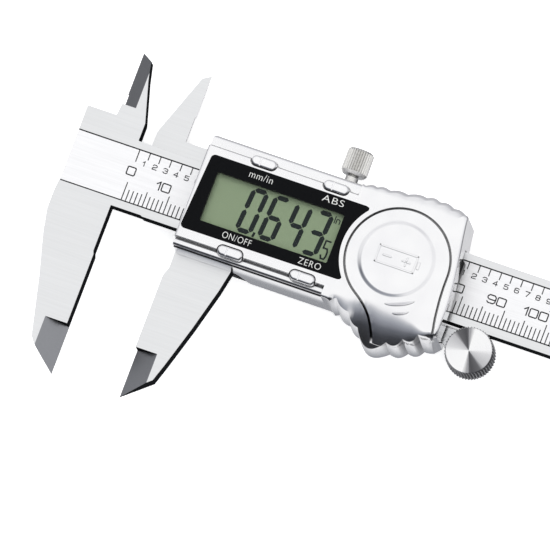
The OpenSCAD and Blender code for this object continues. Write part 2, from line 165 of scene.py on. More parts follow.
# Behind the caliper the ceiling curves down to the table without a break
REAR_WALL = [(0.0, "#DADADC"), (0.3, "#B4B4B7"), (0.5, "#BCBCC0"), (0.75, "#DEDEE1"), (0.92, "#F7F7F8"),
             (0.98, "#FFFFFF")]
front = add(sky, "ShaderNodeValToRGB", {"Fac": height.outputs["Result"]})
set_ramp(front, FRONT_WALL)
rear = add(sky, "ShaderNodeValToRGB", {"Fac": height.outputs["Result"]})
set_ramp(rear, REAR_WALL)
rearward = add(sky, "ShaderNodeVectorMath", {0: coordinates.outputs["Generated"], 1: (0.05, 1.0, 0)},
               operation="DOT_PRODUCT")
turned = add(sky, "ShaderNodeMapRange", {
    "Value": rearward.outputs["Value"], "From Min": -0.35, "From Max": 0.3}, interpolation_type="SMOOTHSTEP")
room = add(sky, "ShaderNodeMix", {
    "Factor": turned.outputs["Result"], "A": front.outputs["Color"], "B": rear.outputs["Color"]},
    data_type="RGBA")
# Each panel faces one way and covers a range of heights: direction, from, to, low, high, colour, strength
PANELS = {"dark curtain low on the right": ((1, 0, 0), 0.15, 0.4, 0.0, -0.5, "#3C3D42", 0.85),
          "white card on the right": ((1, 0, 0), 0.0, 0.35, 0.4, 0.62, "#F4F4F5", 0.9),
          "white card on the left": ((-0.8, 0.6, 0), 0.45, 0.8, 0.2, 0.45, "#F4F4F5", 0.85)}
for way, start, full, foot, top, code, strength in PANELS.values():
    toward = add(sky, "ShaderNodeVectorMath", {0: coordinates.outputs["Generated"], 1: way},
                 operation="DOT_PRODUCT")
    sideways = add(sky, "ShaderNodeMapRange", {
        "Value": toward.outputs["Value"], "From Min": start, "From Max": full, "To Max": strength},
        interpolation_type="SMOOTHSTEP")
    upright = add(sky, "ShaderNodeMapRange", {"Value": axes.outputs["Z"], "From Min": foot, "From Max": top},
                  interpolation_type="SMOOTHSTEP")
    panel = add(sky, "ShaderNodeMath", {0: sideways.outputs["Result"], 1: upright.outputs["Result"]},
                operation="MULTIPLY")
    room = add(sky, "ShaderNodeMix", {
        "Factor": panel.outputs["Value"], "A": room.outputs["Result"], "B": linear(code)}, data_type="RGBA")
background = add(sky, "ShaderNodeBackground", {"Color": room.outputs["Result"], "Strength": 1.02})
add(sky, "ShaderNodeOutputWorld", {"Surface": background.outputs["Background"]})
bpy.context.scene.world = world
bpy.context.scene.view_settings.view_transform = "Standard"
print("room with", ", ".join(PANELS))

# %% [markdown]
# ## Table, lamps and camera
# The caliper lies on a sweep of matt white paper. The paper glows a little of itself, which stands for the
# light that the room throws on it from all sides. Two large square lamps, softer than any bulb, give it a
# faint shadow. The camera has a very long lens, so the view has almost no perspective.

# %% Paper sweep
FLOOR_SIZE = 3.0
half_floor = FLOOR_SIZE / 2
floor_mesh = bpy.data.meshes.new("floor")
floor_mesh.from_pydata([(-half_floor, -half_floor, 0), (half_floor, -half_floor, 0),
                        (half_floor, half_floor, 0), (-half_floor, half_floor, 0)], [], [(0, 1, 2, 3)])
floor = bpy.data.objects.new("floor", floor_mesh)
floor.location = ((CAD_LOW.x + CAD_HIGH.x) / 2, (CAD_LOW.y + CAD_HIGH.y) / 2, CAD_LOW.z)
floor.visible_glossy = False
bpy.context.collection.objects.link(floor)
floor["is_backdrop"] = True

# Matt paper, pressed flat and uncoated, has no gloss and scatters light evenly
paper, paper_tree = empty_material("white_paper_sweep")
paper_shader = add(paper_tree, "ShaderNodeBsdfPrincipled", {
    "Base Color": linear("#F6F6F6"), "Roughness": 0.9, "Specular IOR Level": 0.1,
    "Emission Color": linear("#FFFFFF"), "Emission Strength": 0.62})
add(paper_tree, "ShaderNodeOutputMaterial", {"Surface": paper_shader.outputs[0]})
floor_mesh.materials.append(paper)
print("floor at z =", round(CAD_LOW.z / MM, 2), "mm")


# %% Lamps
def softbox(name, size, watts, place, aim):
    """A square area lamp at place that looks at aim."""
    lamp = bpy.data.lights.new(name, "AREA")
    lamp.size = size
    lamp.energy = watts
    lamp_object = bpy.data.objects.new(name, lamp)
    lamp_object.location = place
    lamp_object.rotation_euler = (Vector(aim) - Vector(place)).to_track_quat("-Z", "Y").to_euler()
    lamp_object.visible_glossy = False
    bpy.context.collection.objects.link(lamp_object)


# Name, width in metres, watts, and its place as seen from the caliper's centre, in metres
LAMPS = [("key_softbox", 0.9, 9.0, (-0.5, 0.5, 0.9)), ("fill_softbox", 1.2, 4.0, (0.6, -0.5, 0.9))]
centre = (CAD_LOW + CAD_HIGH) / 2
for name, width, watts, away in LAMPS:
    softbox(name, width, watts, centre + Vector(away), centre)
print(len(LAMPS), "lamps")

# %% Camera
VIEW_WIDTH = 122.15
LENS = 1600.0
SENSOR = 36.0
CLIP_END = 30.0
# The camera looks almost straight down, from a little to the right and in front, and is turned about its axis
CAMERA_ROLL = math.radians(18.83)
back = Vector((0.183, -0.183, 0.966)).normalized()
aim_point = Vector((40.08, EDGE_Y - 2.8, 2.0)) * MM
along_beam = (Vector((1, 0, 0)) - back * back.x).normalized()
across_beam = back.cross(along_beam)
right = along_beam * math.cos(CAMERA_ROLL) + across_beam * math.sin(CAMERA_ROLL)
up = across_beam * math.cos(CAMERA_ROLL) - along_beam * math.sin(CAMERA_ROLL)
camera = bpy.data.objects.new("camera", bpy.data.cameras.new("camera"))
camera.data.lens = LENS
camera.data.sensor_width = SENSOR
camera.data.clip_end = CLIP_END
distance = VIEW_WIDTH * MM * LENS / SENSOR
camera.matrix_world = Matrix((
    (right.x, up.x, back.x, 0), (right.y, up.y, back.y, 0), (right.z, up.z, back.z, 0), (0, 0, 0, 1)))
camera.location = aim_point + back * distance
bpy.context.collection.objects.link(camera)
bpy.context.scene.camera = camera
print("camera", round(distance, 3), "m away")

# %% [markdown]
# ## Finishes
# Most of the parts share one recipe: a base colour that drifts a little, a roughness that drifts with it,
# and a fine relief. What tells ground steel from plated plastic is the numbers: how metallic, how rough,
# and above all the size and the direction of the pattern, so those are given in millimetres along each
# axis. Real grinding lines, grit and fibres are mostly finer than a tenth of a millimetre. Such a pattern
# would melt into a flat tone from here, so it is drawn several times as coarse as it is, just coarse enough
# to show.

# %% The shared recipe
def finish(name, colour, drift, roughness, spread, grain, relief, crevice_shade=None, sides=None, slopes="#98999C",
           **shader):
    """A procedural finish. grain is the pattern's size in mm along X, Y and Z, and relief its depth in mm.
    crevice_shade paints shade into narrow recesses, where ambient occlusion finds them. sides and slopes
    paint shade onto the walls and the slanted faces of a flat part, by the way they face."""
    material, tree = empty_material(name)
    place = add(tree, "ShaderNodeTexCoord")
    stretch = add(tree, "ShaderNodeMapping", {
        "Vector": place.outputs["Object"], "Scale": [1 / (size * MM) for size in grain]})
    noise = add(tree, "ShaderNodeTexNoise", {"Vector": stretch.outputs["Vector"], "Scale": 1.0, "Detail": 3.0})
    tint = add(tree, "ShaderNodeValToRGB", {"Fac": noise.outputs["Fac"]})
    set_ramp(tint, [(0.3, drift), (0.7, colour)])
    rough = add(tree, "ShaderNodeMapRange", {
        "Value": noise.outputs["Fac"], "From Min": 0.3, "From Max": 0.7,
        "To Min": roughness + spread, "To Max": roughness - spread})
    bump = add(tree, "ShaderNodeBump", {
        "Height": noise.outputs["Fac"], "Strength": 0.6, "Distance": relief * MM})
    base = tint.outputs["Color"]
    # Painted shade: ambient occlusion darkens narrow recesses towards the given dark colour
    if crevice_shade:
        crevice = add(tree, "ShaderNodeAmbientOcclusion", {"Distance": 1.0 * MM}, samples=8)
        openness = add(tree, "ShaderNodeMapRange", {
            "Value": crevice.outputs["AO"], "From Min": 0.3, "From Max": 0.72})
        shaded = add(tree, "ShaderNodeMix", {
            "Factor": openness.outputs["Result"], "A": linear(crevice_shade), "B": base}, data_type="RGBA")
        base = shaded.outputs["Result"]
    # Painted shade: walls are multiplied dark and slanted faces grey by the way they face, while flat faces
    # keep their colour
    if sides:
        geometry = add(tree, "ShaderNodeNewGeometry")
        facing = add(tree, "ShaderNodeSeparateXYZ", {"Vector": geometry.outputs["Normal"]})
        upright = add(tree, "ShaderNodeMath", {0: facing.outputs["Z"]}, operation="ABSOLUTE")
        walls = add(tree, "ShaderNodeValToRGB", {"Fac": upright.outputs["Value"]})
        set_ramp(walls, [(0.45, sides), (0.7, slopes), (0.8, "#B0B1B4"), (0.9, "#C0C1C4"), (0.96, "#FFFFFF")])
        shade_by_facing = add(tree, "ShaderNodeMix", {"Factor": 1.0, "A": base, "B": walls.outputs["Color"]},
                    data_type="RGBA", blend_type="MULTIPLY")
        base = shade_by_facing.outputs["Result"]
        flatness = add(tree, "ShaderNodeMapRange", {
            "Value": upright.outputs["Value"], "From Min": 0.4, "From Max": 0.7})
        shader["Metallic"] = flatness.outputs["Result"]
        shader["Specular_IOR_Level"] = 0.0
    settings = {"Base Color": base, "Roughness": rough.outputs["Result"], "Normal": bump.outputs["Normal"]}
    for key, value in shader.items():
        settings[key.replace("_", " ")] = value
    principled = add(tree, "ShaderNodeBsdfPrincipled", settings)
    add(tree, "ShaderNodeOutputMaterial", {"Surface": principled.outputs[0]})
    return material


print("the recipe takes grain and relief in mm")

# %% [markdown]
# ### Metals
# Ground stainless steel keeps the fine parallel lines of the grinding wheel. They are about 0.05 mm apart,
# too fine to see from here, so they are drawn 0.35 mm apart. Sheet is rolled and brushed, turned parts have
# a fine mottle with painted shade between their teeth, and screws are darker because they are blackened and
# tumbled. The walls of ground and rolled parts get painted shade by the way they face.

# %% Steel, bronze and contact metals
# Stainless steel, hardened and ground flat on both faces: a bright white face with lines along the beam. The
# milled side walls get painted shade, dark beside it, and the slanted faces a painted grey, which draws the
# outline
ground_steel = finish("ground_stainless_steel", "#ECEDEE", "#E8E9EA", 0.30, 0.02, (16, 0.35, 0.35), 0.0008,
                      sides="#1A1B1D")
# Stainless sheet, rolled and brushed along its length: streaks a little stronger than ground steel's
# Its walls get painted shade and its slanted faces a lighter painted grey, by the way they face
sheet_steel = finish("brushed_stainless_sheet", "#DCDDDF", "#CFD0D2", 0.26, 0.05, (18, 0.25, 0.25), 0.002,
                     sides="#2A2B2E", slopes="#C8C9CC")
# Hardened screw steel, tumbled and blackened in hot oil: dark, with an even soft mottle
screw_steel = finish("blackened_screw_steel", "#6A6B6F", "#54555A", 0.38, 0.08, (0.6, 0.6, 0.6), 0.01,
                     Metallic=1.0)
# Free-cutting steel, turned and knurled: light on the crests, with painted shade between the teeth
turned_steel = finish("turned_and_knurled_steel", "#F2F1EE", "#E0DFDC", 0.26, 0.05, (0.4, 0.4, 0.4), 0.006,
                      crevice_shade="#3A3938", Metallic=1.0, Anisotropic=0.6)
# Nickel plate on a drawn steel can: warm grey, with long faint drawing marks
cell_steel = finish("nickel_plated_cell_can", "#D6D5D0", "#C4C3BF", 0.28, 0.05, (0.5, 6, 0.5), 0.005,
                    Metallic=1.0)
# Phosphor bronze strip, cold rolled: a brown gold with rolling lines along the strip
spring_bronze = finish("spring_bronze", "#B98F4E", "#9C763D", 0.34, 0.07, (8, 0.4, 0.4), 0.008, Metallic=1.0)
# Spring steel with a thin flash of gold, put on in a bath: a pale, greenish yellow
contact_plate = finish("gold_flashed_contact", "#D8C084", "#BFA367", 0.28, 0.05, (3, 0.5, 0.5), 0.005,
                       Metallic=1.0)
print("seven metals made")

# %% [markdown]
# ### Plated, moulded and printed finishes
# The housing is moulded ABS with satin chrome plate. The plate is very thin, so the soft orange-peel of the
# moulding shows through as a slow waviness. The bezel is a black printed panel. The display's liquid
# crystal lies over a green-grey reflector, which has a fine matt tooth.

# %% Chrome plate
# ABS, moulded in a blasted tool and chrome plated: satin reflections that wave slowly, and painted shade in
# the deep gaps
satin_chrome = finish("satin_chrome_plated_abs", "#F7F7F8", "#F1F1F3", 0.115, 0.02, (6, 6, 6), 0.012,
                      crevice_shade="#1E1F22", Metallic=0.975)
# ABS, moulded in a polished tool and chrome plated: sharper, brighter reflections
bright_chrome = finish("bright_chrome_plated_abs", "#F8F8F9", "#F1F1F3", 0.07, 0.02, (3, 3, 3), 0.008,
                       Metallic=0.96)
print("two chrome finishes made")

# %% Panel, prints and display
# Acrylic sheet, printed black from behind: a deep black under a quiet gloss
black_panel = finish("black_printed_panel", "#08090B", "#0C0D0F", 0.20, 0.03, (0.5, 0.5, 0.5), 0.002,
                     Specular_IOR_Level=0.05, IOR=1.49)
# Screen-printing ink, pressed through a mesh and left matt: off-white, a little uneven
white_print = finish("white_screen_print", "#DEDFDC", "#CFD0CD", 0.55, 0.05, (0.3, 0.3, 0.3), 0.002)
# Polyester film, embossed with a matt tooth behind the crystal: the green grey of an unlit display. The
# tooth is about 0.05 mm and is drawn 0.25 mm wide
reflector = finish("green_lcd_reflector", "#77866B", "#728166", 0.60, 0.05, (0.25, 0.25, 0.25), 0.002,
                   Specular_IOR_Level=0.2)
# Liquid crystal, switched dark: almost black with a hint of green, and no shine of its own
segment_ink = finish("liquid_crystal_segment", "#0E1517", "#12191B", 0.60, 0.05, (0.4, 0.4, 0.4), 0.002,
                     Specular_IOR_Level=0.0)
# Aluminium foil under a satin varnish, drawn off a roll: soft silver white with long faint streaks
scale_foil = finish("satin_scale_foil", "#EFEFF0", "#E9E9EA", 0.42, 0.03, (12, 0.3, 0.3), 0.001,
                    Metallic=0.55)
# Printing ink, rolled on thin and dried matt: black with a soft edge to its gloss
scale_ink = finish("black_scale_print", "#19191B", "#242427", 0.50, 0.05, (0.2, 0.2, 0.2), 0.002,
                   Specular_IOR_Level=0.2)
# Acrylic, cast between glass plates: so clear and so evenly smooth that it hardly shows
clear_acrylic = finish("clear_acrylic_window", "#DCE4DA", "#D4DCD2", 0.06, 0.01, (20, 20, 20), 0.001,
                       IOR=1.49, Alpha=0.01)
print("panel, prints and display finishes made")

# %% Plastic, rubber, board and felt
# ABS, moulded black in a spark-eroded tool: a fine grey grain
dark_plastic = finish("moulded_black_plastic", "#1A1A1C", "#232326", 0.50, 0.08, (0.6, 0.6, 0.6), 0.01)
# Nitrile rubber, pressed in a hot mould: darker and duller than the plastic
black_rubber = finish("moulded_black_rubber", "#101011", "#19191A", 0.65, 0.08, (0.4, 0.4, 0.4), 0.01)
# Silicone rubber, stacked in conducting and plain layers and sliced: grey stripes across it. The layers
# are 0.05 mm thick and are drawn 0.2 mm thick
striped_rubber = finish("striped_connector_rubber", "#4A4D52", "#2A2C30", 0.60, 0.08, (0.2, 8, 8), 0.01)
# Glass-fibre board under a green solder mask, printed and baked: a wet green gloss over a faint weave
green_board = finish("solder_masked_board", "#1F5A3A", "#17452D", 0.35, 0.08, (1.2, 0.4, 1), 0.01)
# Wool felt, pressed dense and dyed black: matt, with a soft sheen from its fibre ends. The fibres are 0.02 mm
# thick and are drawn 0.15 mm thick
felt = finish("dense_black_felt", "#0E0E0F", "#1D1D1F", 0.95, 0.04, (0.15, 0.15, 0.5), 0.06,
              Sheen_Weight=0.3, Sheen_Roughness=0.5)
print("plastic, rubber, board and felt made")

# %% [markdown]
# ## CAD parts that keep their shape
# A real machined edge is never perfectly sharp: it is broken with a stone, and that narrow flat catches the
# light. The imported meshes get a weld, which joins the triangles' edges again, and a small bevel on every
# edge over 35 degrees. Both are modifiers, so the parts themselves stay as they were drawn.

# %% Finish for the listed CAD parts, and an edge break for the machined ones
EDGE_BREAK = 0.12
SHARP_EDGE = math.radians(35)
NODES_BY_FINISH = [
    (ground_steel, ["beam", "slider_frame", "depth_rod"]),
    (sheet_steel, ["end_stop", "back_plate", "roller_bracket"]),
    (scale_foil, ["scale_face"]),
    (green_board, ["scale_board", "main_board"]),
    (screw_steel, ["end_stop_screws", "gib_screws", "back_plate_screws", "depth_rod_screws", "housing_screws",
                   "bracket_screws", "roller_clip"]),
    (spring_bronze, ["gib_strip", "lock_pad"]),
    (contact_plate, ["contact_positive", "contact_negative"]),
    (clear_acrylic, ["window_lens"]),
    (reflector, ["lcd_glass"]),
    (dark_plastic, ["lcd_frame", "tact_switches", "board_chips"]),
    (striped_rubber, ["zebra_strips"]),
    (black_rubber, ["cover_seal"]),
    (cell_steel, ["crystal", "battery_cell"]),
    (felt, ["wiper_left", "wiper_right"]),
]
SOFTENED = {"beam": EDGE_BREAK, "slider_frame": EDGE_BREAK, "back_plate": EDGE_BREAK,
            "roller_bracket": 0.1, "end_stop": 0.1, "depth_rod": 0.08, "battery_cell": 0.1}
for material, nodes in NODES_BY_FINISH:
    for node in nodes:
        part = frame["nodes"][node]
        part.data.materials.clear()
        part.data.materials.append(material)
for node, width in SOFTENED.items():
    part = frame["nodes"][node]
    weld = part.modifiers.new("rejoin_edges", "WELD")
    weld.merge_threshold = 0.001 * MM
    edge = part.modifiers.new("edge_break", "BEVEL")
    edge.width = width * MM
    edge.segments = 2
    edge.limit_method = "ANGLE"
    edge.angle_limit = SHARP_EDGE
    edge.harden_normals = False
print(sum(len(nodes) for _, nodes in NODES_BY_FINISH), "parts finished,", len(SOFTENED), "with broken edges")

# %% [markdown]
# ## Tools for the moulded pieces
# A moulded part is drawn as a stack of outlines, one above the other, like the contour lines of a hill. A
# loft joins them into a closed skin. Holes are cut with a second solid, as an end mill would cut them, and
# the cutter is flared at its mouth so that it leaves a rounded edge and not a razor.

# %% Outlines
def arc(x, y, radius, start, end, steps=8):
    """Points on an arc, angles in degrees."""
    angles = [math.radians(start + (end - start) * i / steps) for i in range(steps + 1)]
    return [Vector((x + radius * math.cos(a), y + radius * math.sin(a))) for a in angles]


def rounded(corners, radius, steps=5):
    """A polygon, given anticlockwise, with each corner turned into an arc."""
    outline = []
    for i, corner in enumerate(corners):
        before = (Vector(corners[i - 1]) - Vector(corner)).normalized()
        after = (Vector(corners[(i + 1) % len(corners)]) - Vector(corner)).normalized()
        half = before.angle(after) / 2
        middle = Vector(corner) + (before + after).normalized() * radius / math.sin(half)
        start = Vector(corner) + before * radius / math.tan(half) - middle
        sweep = start.angle_signed(Vector(corner) + after * radius / math.tan(half) - middle)
        for k in range(steps + 1):
            turned = Matrix.Rotation(-sweep * k / steps, 2) @ start
            outline.append(middle + turned)
    return outline


def pill(length, width, steps=10):
    """A slot outline with round ends."""
    reach = (length - width) / 2
    return arc(reach, 0, width / 2, -90, 90, steps) + arc(-reach, 0, width / 2, 90, 270, steps)


def normals(outline):
    """The outward direction at each point of an anticlockwise outline."""
    found = []
    for i in range(len(outline)):
        run = outline[(i + 1) % len(outline)] - outline[i - 1]
        found.append(Vector((run.y, -run.x)).normalized())
    return found


def grown(outline, distance):
    """The outline moved outwards by distance, inwards if it is negative."""
    return [p + n * distance for p, n in zip(outline, normals(outline))]


def shifted(outline, x, y):
    """The outline moved to another place."""
    return [p + Vector((x, y)) for p in outline]


def level(outline, z):
    """The outline at one height."""
    return [Vector((p.x, p.y, z)) for p in outline]


print("a slot of 6 x 2.4 mm has", len(pill(6, 2.4)), "points")


# %% Solids
def loft(rings):
    """A closed skin through rings that have the same number of points."""
    skin = bmesh.new()
    rows = [[skin.verts.new(p) for p in ring] for ring in rings]
    for low, high in zip(rows, rows[1:]):
        for i in range(len(low)):
            j = (i + 1) % len(low)
            skin.faces.new((low[i], low[j], high[j], high[i]))
    skin.faces.new(rows[0][::-1])
    skin.faces.new(rows[-1])
    bmesh.ops.recalc_face_normals(skin, faces=skin.faces)
    return skin


# How far a flared cutter goes on above the face that it cuts
FLARE_RUN = 1.5


def plate(outline, low, high, radius=0.0, steps=4):
    """A plate whose upper edge is rounded, or flared outwards if radius is negative."""
    rings = [level(outline, low)]
    if radius == 0:
        return loft(rings + [level(outline, high)])
    size = abs(radius)
    for k in range(steps + 1):
        turn = math.pi / 2 * k / steps
        moved = math.copysign(size, -radius) * (1 - math.cos(turn))
        rings.append(level(grown(outline, moved), high - size + size * math.sin(turn)))
    if radius < 0:
        rings.append(level(grown(outline, size), high + FLARE_RUN))
    return loft(rings)


def revolve(profile, x, y, steps=96):
    """A turned solid about a vertical axis. profile runs from the axis out and back, as (radius, z)."""
    skin = bmesh.new()
    rows = []
    for radius, z in profile:
        if radius < 1e-6:
            rows.append([skin.verts.new((x, y, z))])
        else:
            rows.append([skin.verts.new((p.x, p.y, z)) for p in arc(x, y, radius, 0, 360, steps)[:-1]])
    for low, high in zip(rows, rows[1:]):
        for i in range(steps):
            j = (i + 1) % steps
            corners = [low[i % len(low)], low[j % len(low)], high[j % len(high)], high[i % len(high)]]
            skin.faces.new(list(dict.fromkeys(corners)))
    bmesh.ops.recalc_face_normals(skin, faces=skin.faces)
    return skin


def box(low, high):
    """A plain block for cutting."""
    outline = [Vector(p) for p in ((low[0], low[1]), (high[0], low[1]), (high[0], high[1]), (low[0], high[1]))]
    return plate(outline, low[2], high[2])


def bar_x(section, x0, x1):
    """A bar along X whose section is drawn in Y and Z."""
    return loft([[Vector((x, y, z)) for y, z in section] for x in (x0, x1)])


print("skins can be lofted, rounded off and turned")


# %% Cutting, joining and placing
def solid(skin):
    """Puts a skin into an object, still in mm and at the drawing's origin."""
    mesh = bpy.data.meshes.new("work")
    skin.to_mesh(mesh)
    skin.free()
    made = bpy.data.objects.new("work", mesh)
    bpy.context.collection.objects.link(made)
    return made


def carve(target, tool, operation="DIFFERENCE"):
    """Cuts, joins or intersects target with tool, and uses tool up."""
    cut = target.modifiers.new("cut", "BOOLEAN")
    cut.object = tool
    cut.operation = operation
    cut.solver = "EXACT"
    bpy.context.view_layer.update()
    result = bpy.data.meshes.new_from_object(target.evaluated_get(bpy.context.evaluated_depsgraph_get()))
    target.modifiers.clear()
    target.data = result
    bpy.data.objects.remove(tool)
    return target


def attach(target, skins):
    """Adds loose skins to a drawn solid, as ribs and bosses are moulded onto a wall."""
    whole = bmesh.new()
    whole.from_mesh(target.data)
    for skin in skins:
        carrier = bpy.data.meshes.new("carrier")
        skin.to_mesh(carrier)
        skin.free()
        whole.from_mesh(carrier)
        bpy.data.meshes.remove(carrier)
    whole.to_mesh(target.data)
    whole.free()


def settle(made, name, origin, material, body, replaces=(), sharp=32.0):
    """Turns a drawn solid into a finished piece: in metres, in place, shaded, and riding on its body."""
    mesh = made.data
    made.name = mesh.name = name
    mesh.transform(Matrix.Translation(origin * MM) @ Matrix.Scale(MM, 4))
    mesh.materials.clear()
    mesh.materials.append(material)
    mesh.polygons.foreach_set("material_index", [0] * len(mesh.polygons))
    mesh.shade_smooth()
    mesh.set_sharp_from_angle(angle=math.radians(sharp))
    weighted = made.modifiers.new("flat_faces_stay_flat", "WEIGHTED_NORMAL")
    weighted.keep_sharp = True
    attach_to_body(made, body)
    if replaces:
        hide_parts(*replaces)
    size = Vector(made.dimensions) / MM
    print(f"{name}: {len(mesh.polygons)} faces, {size.x:.1f} x {size.y:.1f} x {size.z:.1f} mm")


print("pieces are drawn in mm and settled in metres")

# %% [markdown]
# ## Graduations and numerals
# The scale is printed on a foil strip that is bonded into the beam. The print is an ink film a few
# hundredths of a millimetre thick, so each mark is drawn as a thin solid that lies on the foil. The
# numerals are written with a single stroke along a path, the way an engraving machine writes them, so one
# table of paths serves for both scales and for the small characters on the display.

# %% Strokes
# Paths of the characters in a box one unit wide and one unit high
CHARACTERS = {
    "0": [[(0.14, 0), (0.86, 0), (0.96, 0.04), (1, 0.14), (1, 0.86), (0.96, 0.96), (0.86, 1), (0.14, 1),
           (0.04, 0.96), (0, 0.86), (0, 0.14), (0.04, 0.04), (0.14, 0)]],
    "1": [[(0.2, 0.72), (0.62, 1), (0.62, 0)]],
    "2": [[(0, 0.8), (0.2, 1), (0.8, 1), (1, 0.85), (1, 0.62), (0.85, 0.5), (0.15, 0.38), (0, 0.25), (0, 0),
           (1, 0)]],
    "3": [[(0, 0.82), (0.2, 1), (0.8, 1), (1, 0.85), (1, 0.65), (0.82, 0.52), (0.4, 0.52)],
          [(0.82, 0.52), (1, 0.38), (1, 0.15), (0.8, 0), (0.2, 0), (0, 0.18)]],
    "4": [[(0.75, 0), (0.75, 1), (0, 0.3), (1, 0.3)]],
    "5": [[(0.95, 1), (0.08, 1), (0.04, 0.58), (0.8, 0.58), (1, 0.42), (1, 0.18), (0.8, 0), (0.2, 0),
           (0, 0.15)]],
    "6": [[(0.95, 0.88), (0.8, 1), (0.2, 1), (0, 0.8), (0, 0.2), (0.2, 0), (0.8, 0), (1, 0.2), (1, 0.4),
           (0.8, 0.56), (0.02, 0.56)]],
    "7": [[(0, 1), (1, 1), (0.4, 0)]],
    "8": [[(0.2, 0.53), (0.05, 0.68), (0.05, 0.85), (0.22, 1), (0.78, 1), (0.95, 0.85), (0.95, 0.68),
           (0.8, 0.53), (0.2, 0.53), (0, 0.36), (0, 0.17), (0.2, 0), (0.8, 0), (1, 0.17), (1, 0.36),
           (0.8, 0.53)]],
    "9": [[(0.05, 0.12), (0.2, 0), (0.8, 0), (1, 0.2), (1, 0.8), (0.8, 1), (0.2, 1), (0, 0.8), (0, 0.6),
           (0.2, 0.44), (0.98, 0.44)]],
    "i": [[(0.5, 0), (0.5, 0.66)], [(0.5, 0.86), (0.5, 1)]],
    "n": [[(0, 0), (0, 0.66), (0.75, 0.66), (1, 0.5), (1, 0)]],
}
# Real ink is a hundredth of a millimetre thick. It is drawn twice as thick, to stay clear of the foil
INK_FILM = 0.02
# A sharp turn of the pen is cut short, as if the mitre were never finer than this
MITRE_LIMIT = 0.45
# The figure 1 needs less room than the other figures, and its hook reaches out over that room
ONE_ROOM, ONE_HOOK = 0.62, 0.9


def stroke(ink, path, width, z):
    """Adds a flat ribbon of the given width along a path to the ink mesh."""
    points = [Vector(p) for p in path]
    closed = (points[0] - points[-1]).length < 1e-6
    if closed:
        points.pop()
    sides = []
    for i, point in enumerate(points):
        before = points[i - 1] if closed or i > 0 else None
        after = points[(i + 1) % len(points)] if closed or i < len(points) - 1 else None
        run_in = (point - before).normalized() if before is not None else (after - point).normalized()
        run_out = (after - point).normalized() if after is not None else run_in
        middle = (run_in + run_out).normalized()
        across = Vector((-middle.y, middle.x)) * width / 2 / max(MITRE_LIMIT, middle.dot(run_out))
        end = Vector((0, 0))
        if before is None:
            end = run_in * -width / 2
        if after is None:
            end = run_in * width / 2
        sides.append((point + across + end, point - across + end))
    rows = [[ink.verts.new((p.x, p.y, height)) for p in pair for height in (z, z + INK_FILM)]
            for pair in sides]
    pairs = list(zip(rows, rows[1:])) + ([(rows[-1], rows[0])] if closed else [])
    for a, b in pairs:
        ink.faces.new((a[1], a[3], b[3], b[1]))
        ink.faces.new((a[0], b[0], b[2], a[2]))
        ink.faces.new((a[0], a[1], b[1], b[0]))
        ink.faces.new((a[2], b[2], b[3], a[3]))
    if not closed:
        ink.faces.new((rows[0][0], rows[0][2], rows[0][3], rows[0][1]))
        ink.faces.new((rows[-1][0], rows[-1][1], rows[-1][3], rows[-1][2]))


def write(ink, text, right_edge, base, width, height, pen, z, gap=None):
    """Writes text so that it ends at right_edge."""
    gap = pen * 1.6 if gap is None else gap
    x = right_edge
    for letter in reversed(text):
        room, spread = (ONE_ROOM, ONE_HOOK) if letter == "1" else (1.0, 1.0)
        x -= width * room
        for path in CHARACTERS[letter]:
            stroke(ink, [(x + px * width * spread, base + py * height) for px, py in path], pen, z)
        x -= gap


print(len(CHARACTERS), "characters can be written")

# %% The two scales
SCALE_START = 1.43
LINE_LOW, LINE_HIGH = 1.95, 14.3
INCH = 25.4
# Where the marks end: at each tenth, fifth and single millimetre, and at each inch and tenth of an inch
TENTH_TOP, FIFTH_TOP, SINGLE_TOP = 6.2, 5.5, 4.7
INCH_FOOT, TENTH_FOOT = 11.4, 12.6
# Base line, width, height and pen of the numerals
MM_FIGURE = (6.9, 1.9, 1.85, 0.28)
ZERO_FIGURE = (8.05, 1.9, 1.85, 0.28)
INCH_FIGURE = (8.9, 1.4, 1.9, 0.3)
SMALL_FIGURE = (10.95, 0.95, 1.05, 0.2)
foil_low, foil_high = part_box("scale_face")
foil_top = foil_high.z / MM
scale_end = foil_high.x / MM
PEN = 0.23
ink = bmesh.new()
for y in (LINE_LOW + PEN / 2, LINE_HIGH - PEN / 2):
    stroke(ink, [(foil_low.x / MM + PEN, y), (scale_end - PEN, y)], PEN, foil_top)
millimetres = 10 * ((int(scale_end - SCALE_START) - 8) // 10)
for mark in range(millimetres + 1):
    top = TENTH_TOP if mark % 10 == 0 else FIFTH_TOP if mark % 5 == 0 else SINGLE_TOP
    stroke(ink, [(SCALE_START + mark, LINE_LOW), (SCALE_START + mark, top)], PEN, foil_top)
    if mark % 10 == 0 and mark > 0:
        write(ink, str(mark), SCALE_START + mark - 0.42, *MM_FIGURE, foil_top)
write(ink, "0", SCALE_START + 0.8, *ZERO_FIGURE, foil_top)
tenths = int((millimetres + 2) / (INCH / 10))
for mark in range(tenths + 1):
    whole = mark % 10 == 0
    x = SCALE_START + mark * INCH / 10
    stroke(ink, [(x, LINE_HIGH), (x, INCH_FOOT if whole else TENTH_FOOT)], PEN, foil_top)
    if whole and mark > 0:
        write(ink, str(mark // 10), x - 0.5, *INCH_FIGURE, foil_top)
    elif mark > 0:
        shift = 0.4 if mark % 10 == 1 else 0.05
        write(ink, str(mark % 10), x - shift, *SMALL_FIGURE, foil_top)
settle(solid(ink), "scale_print", ON_BEAM, scale_ink, "beam")

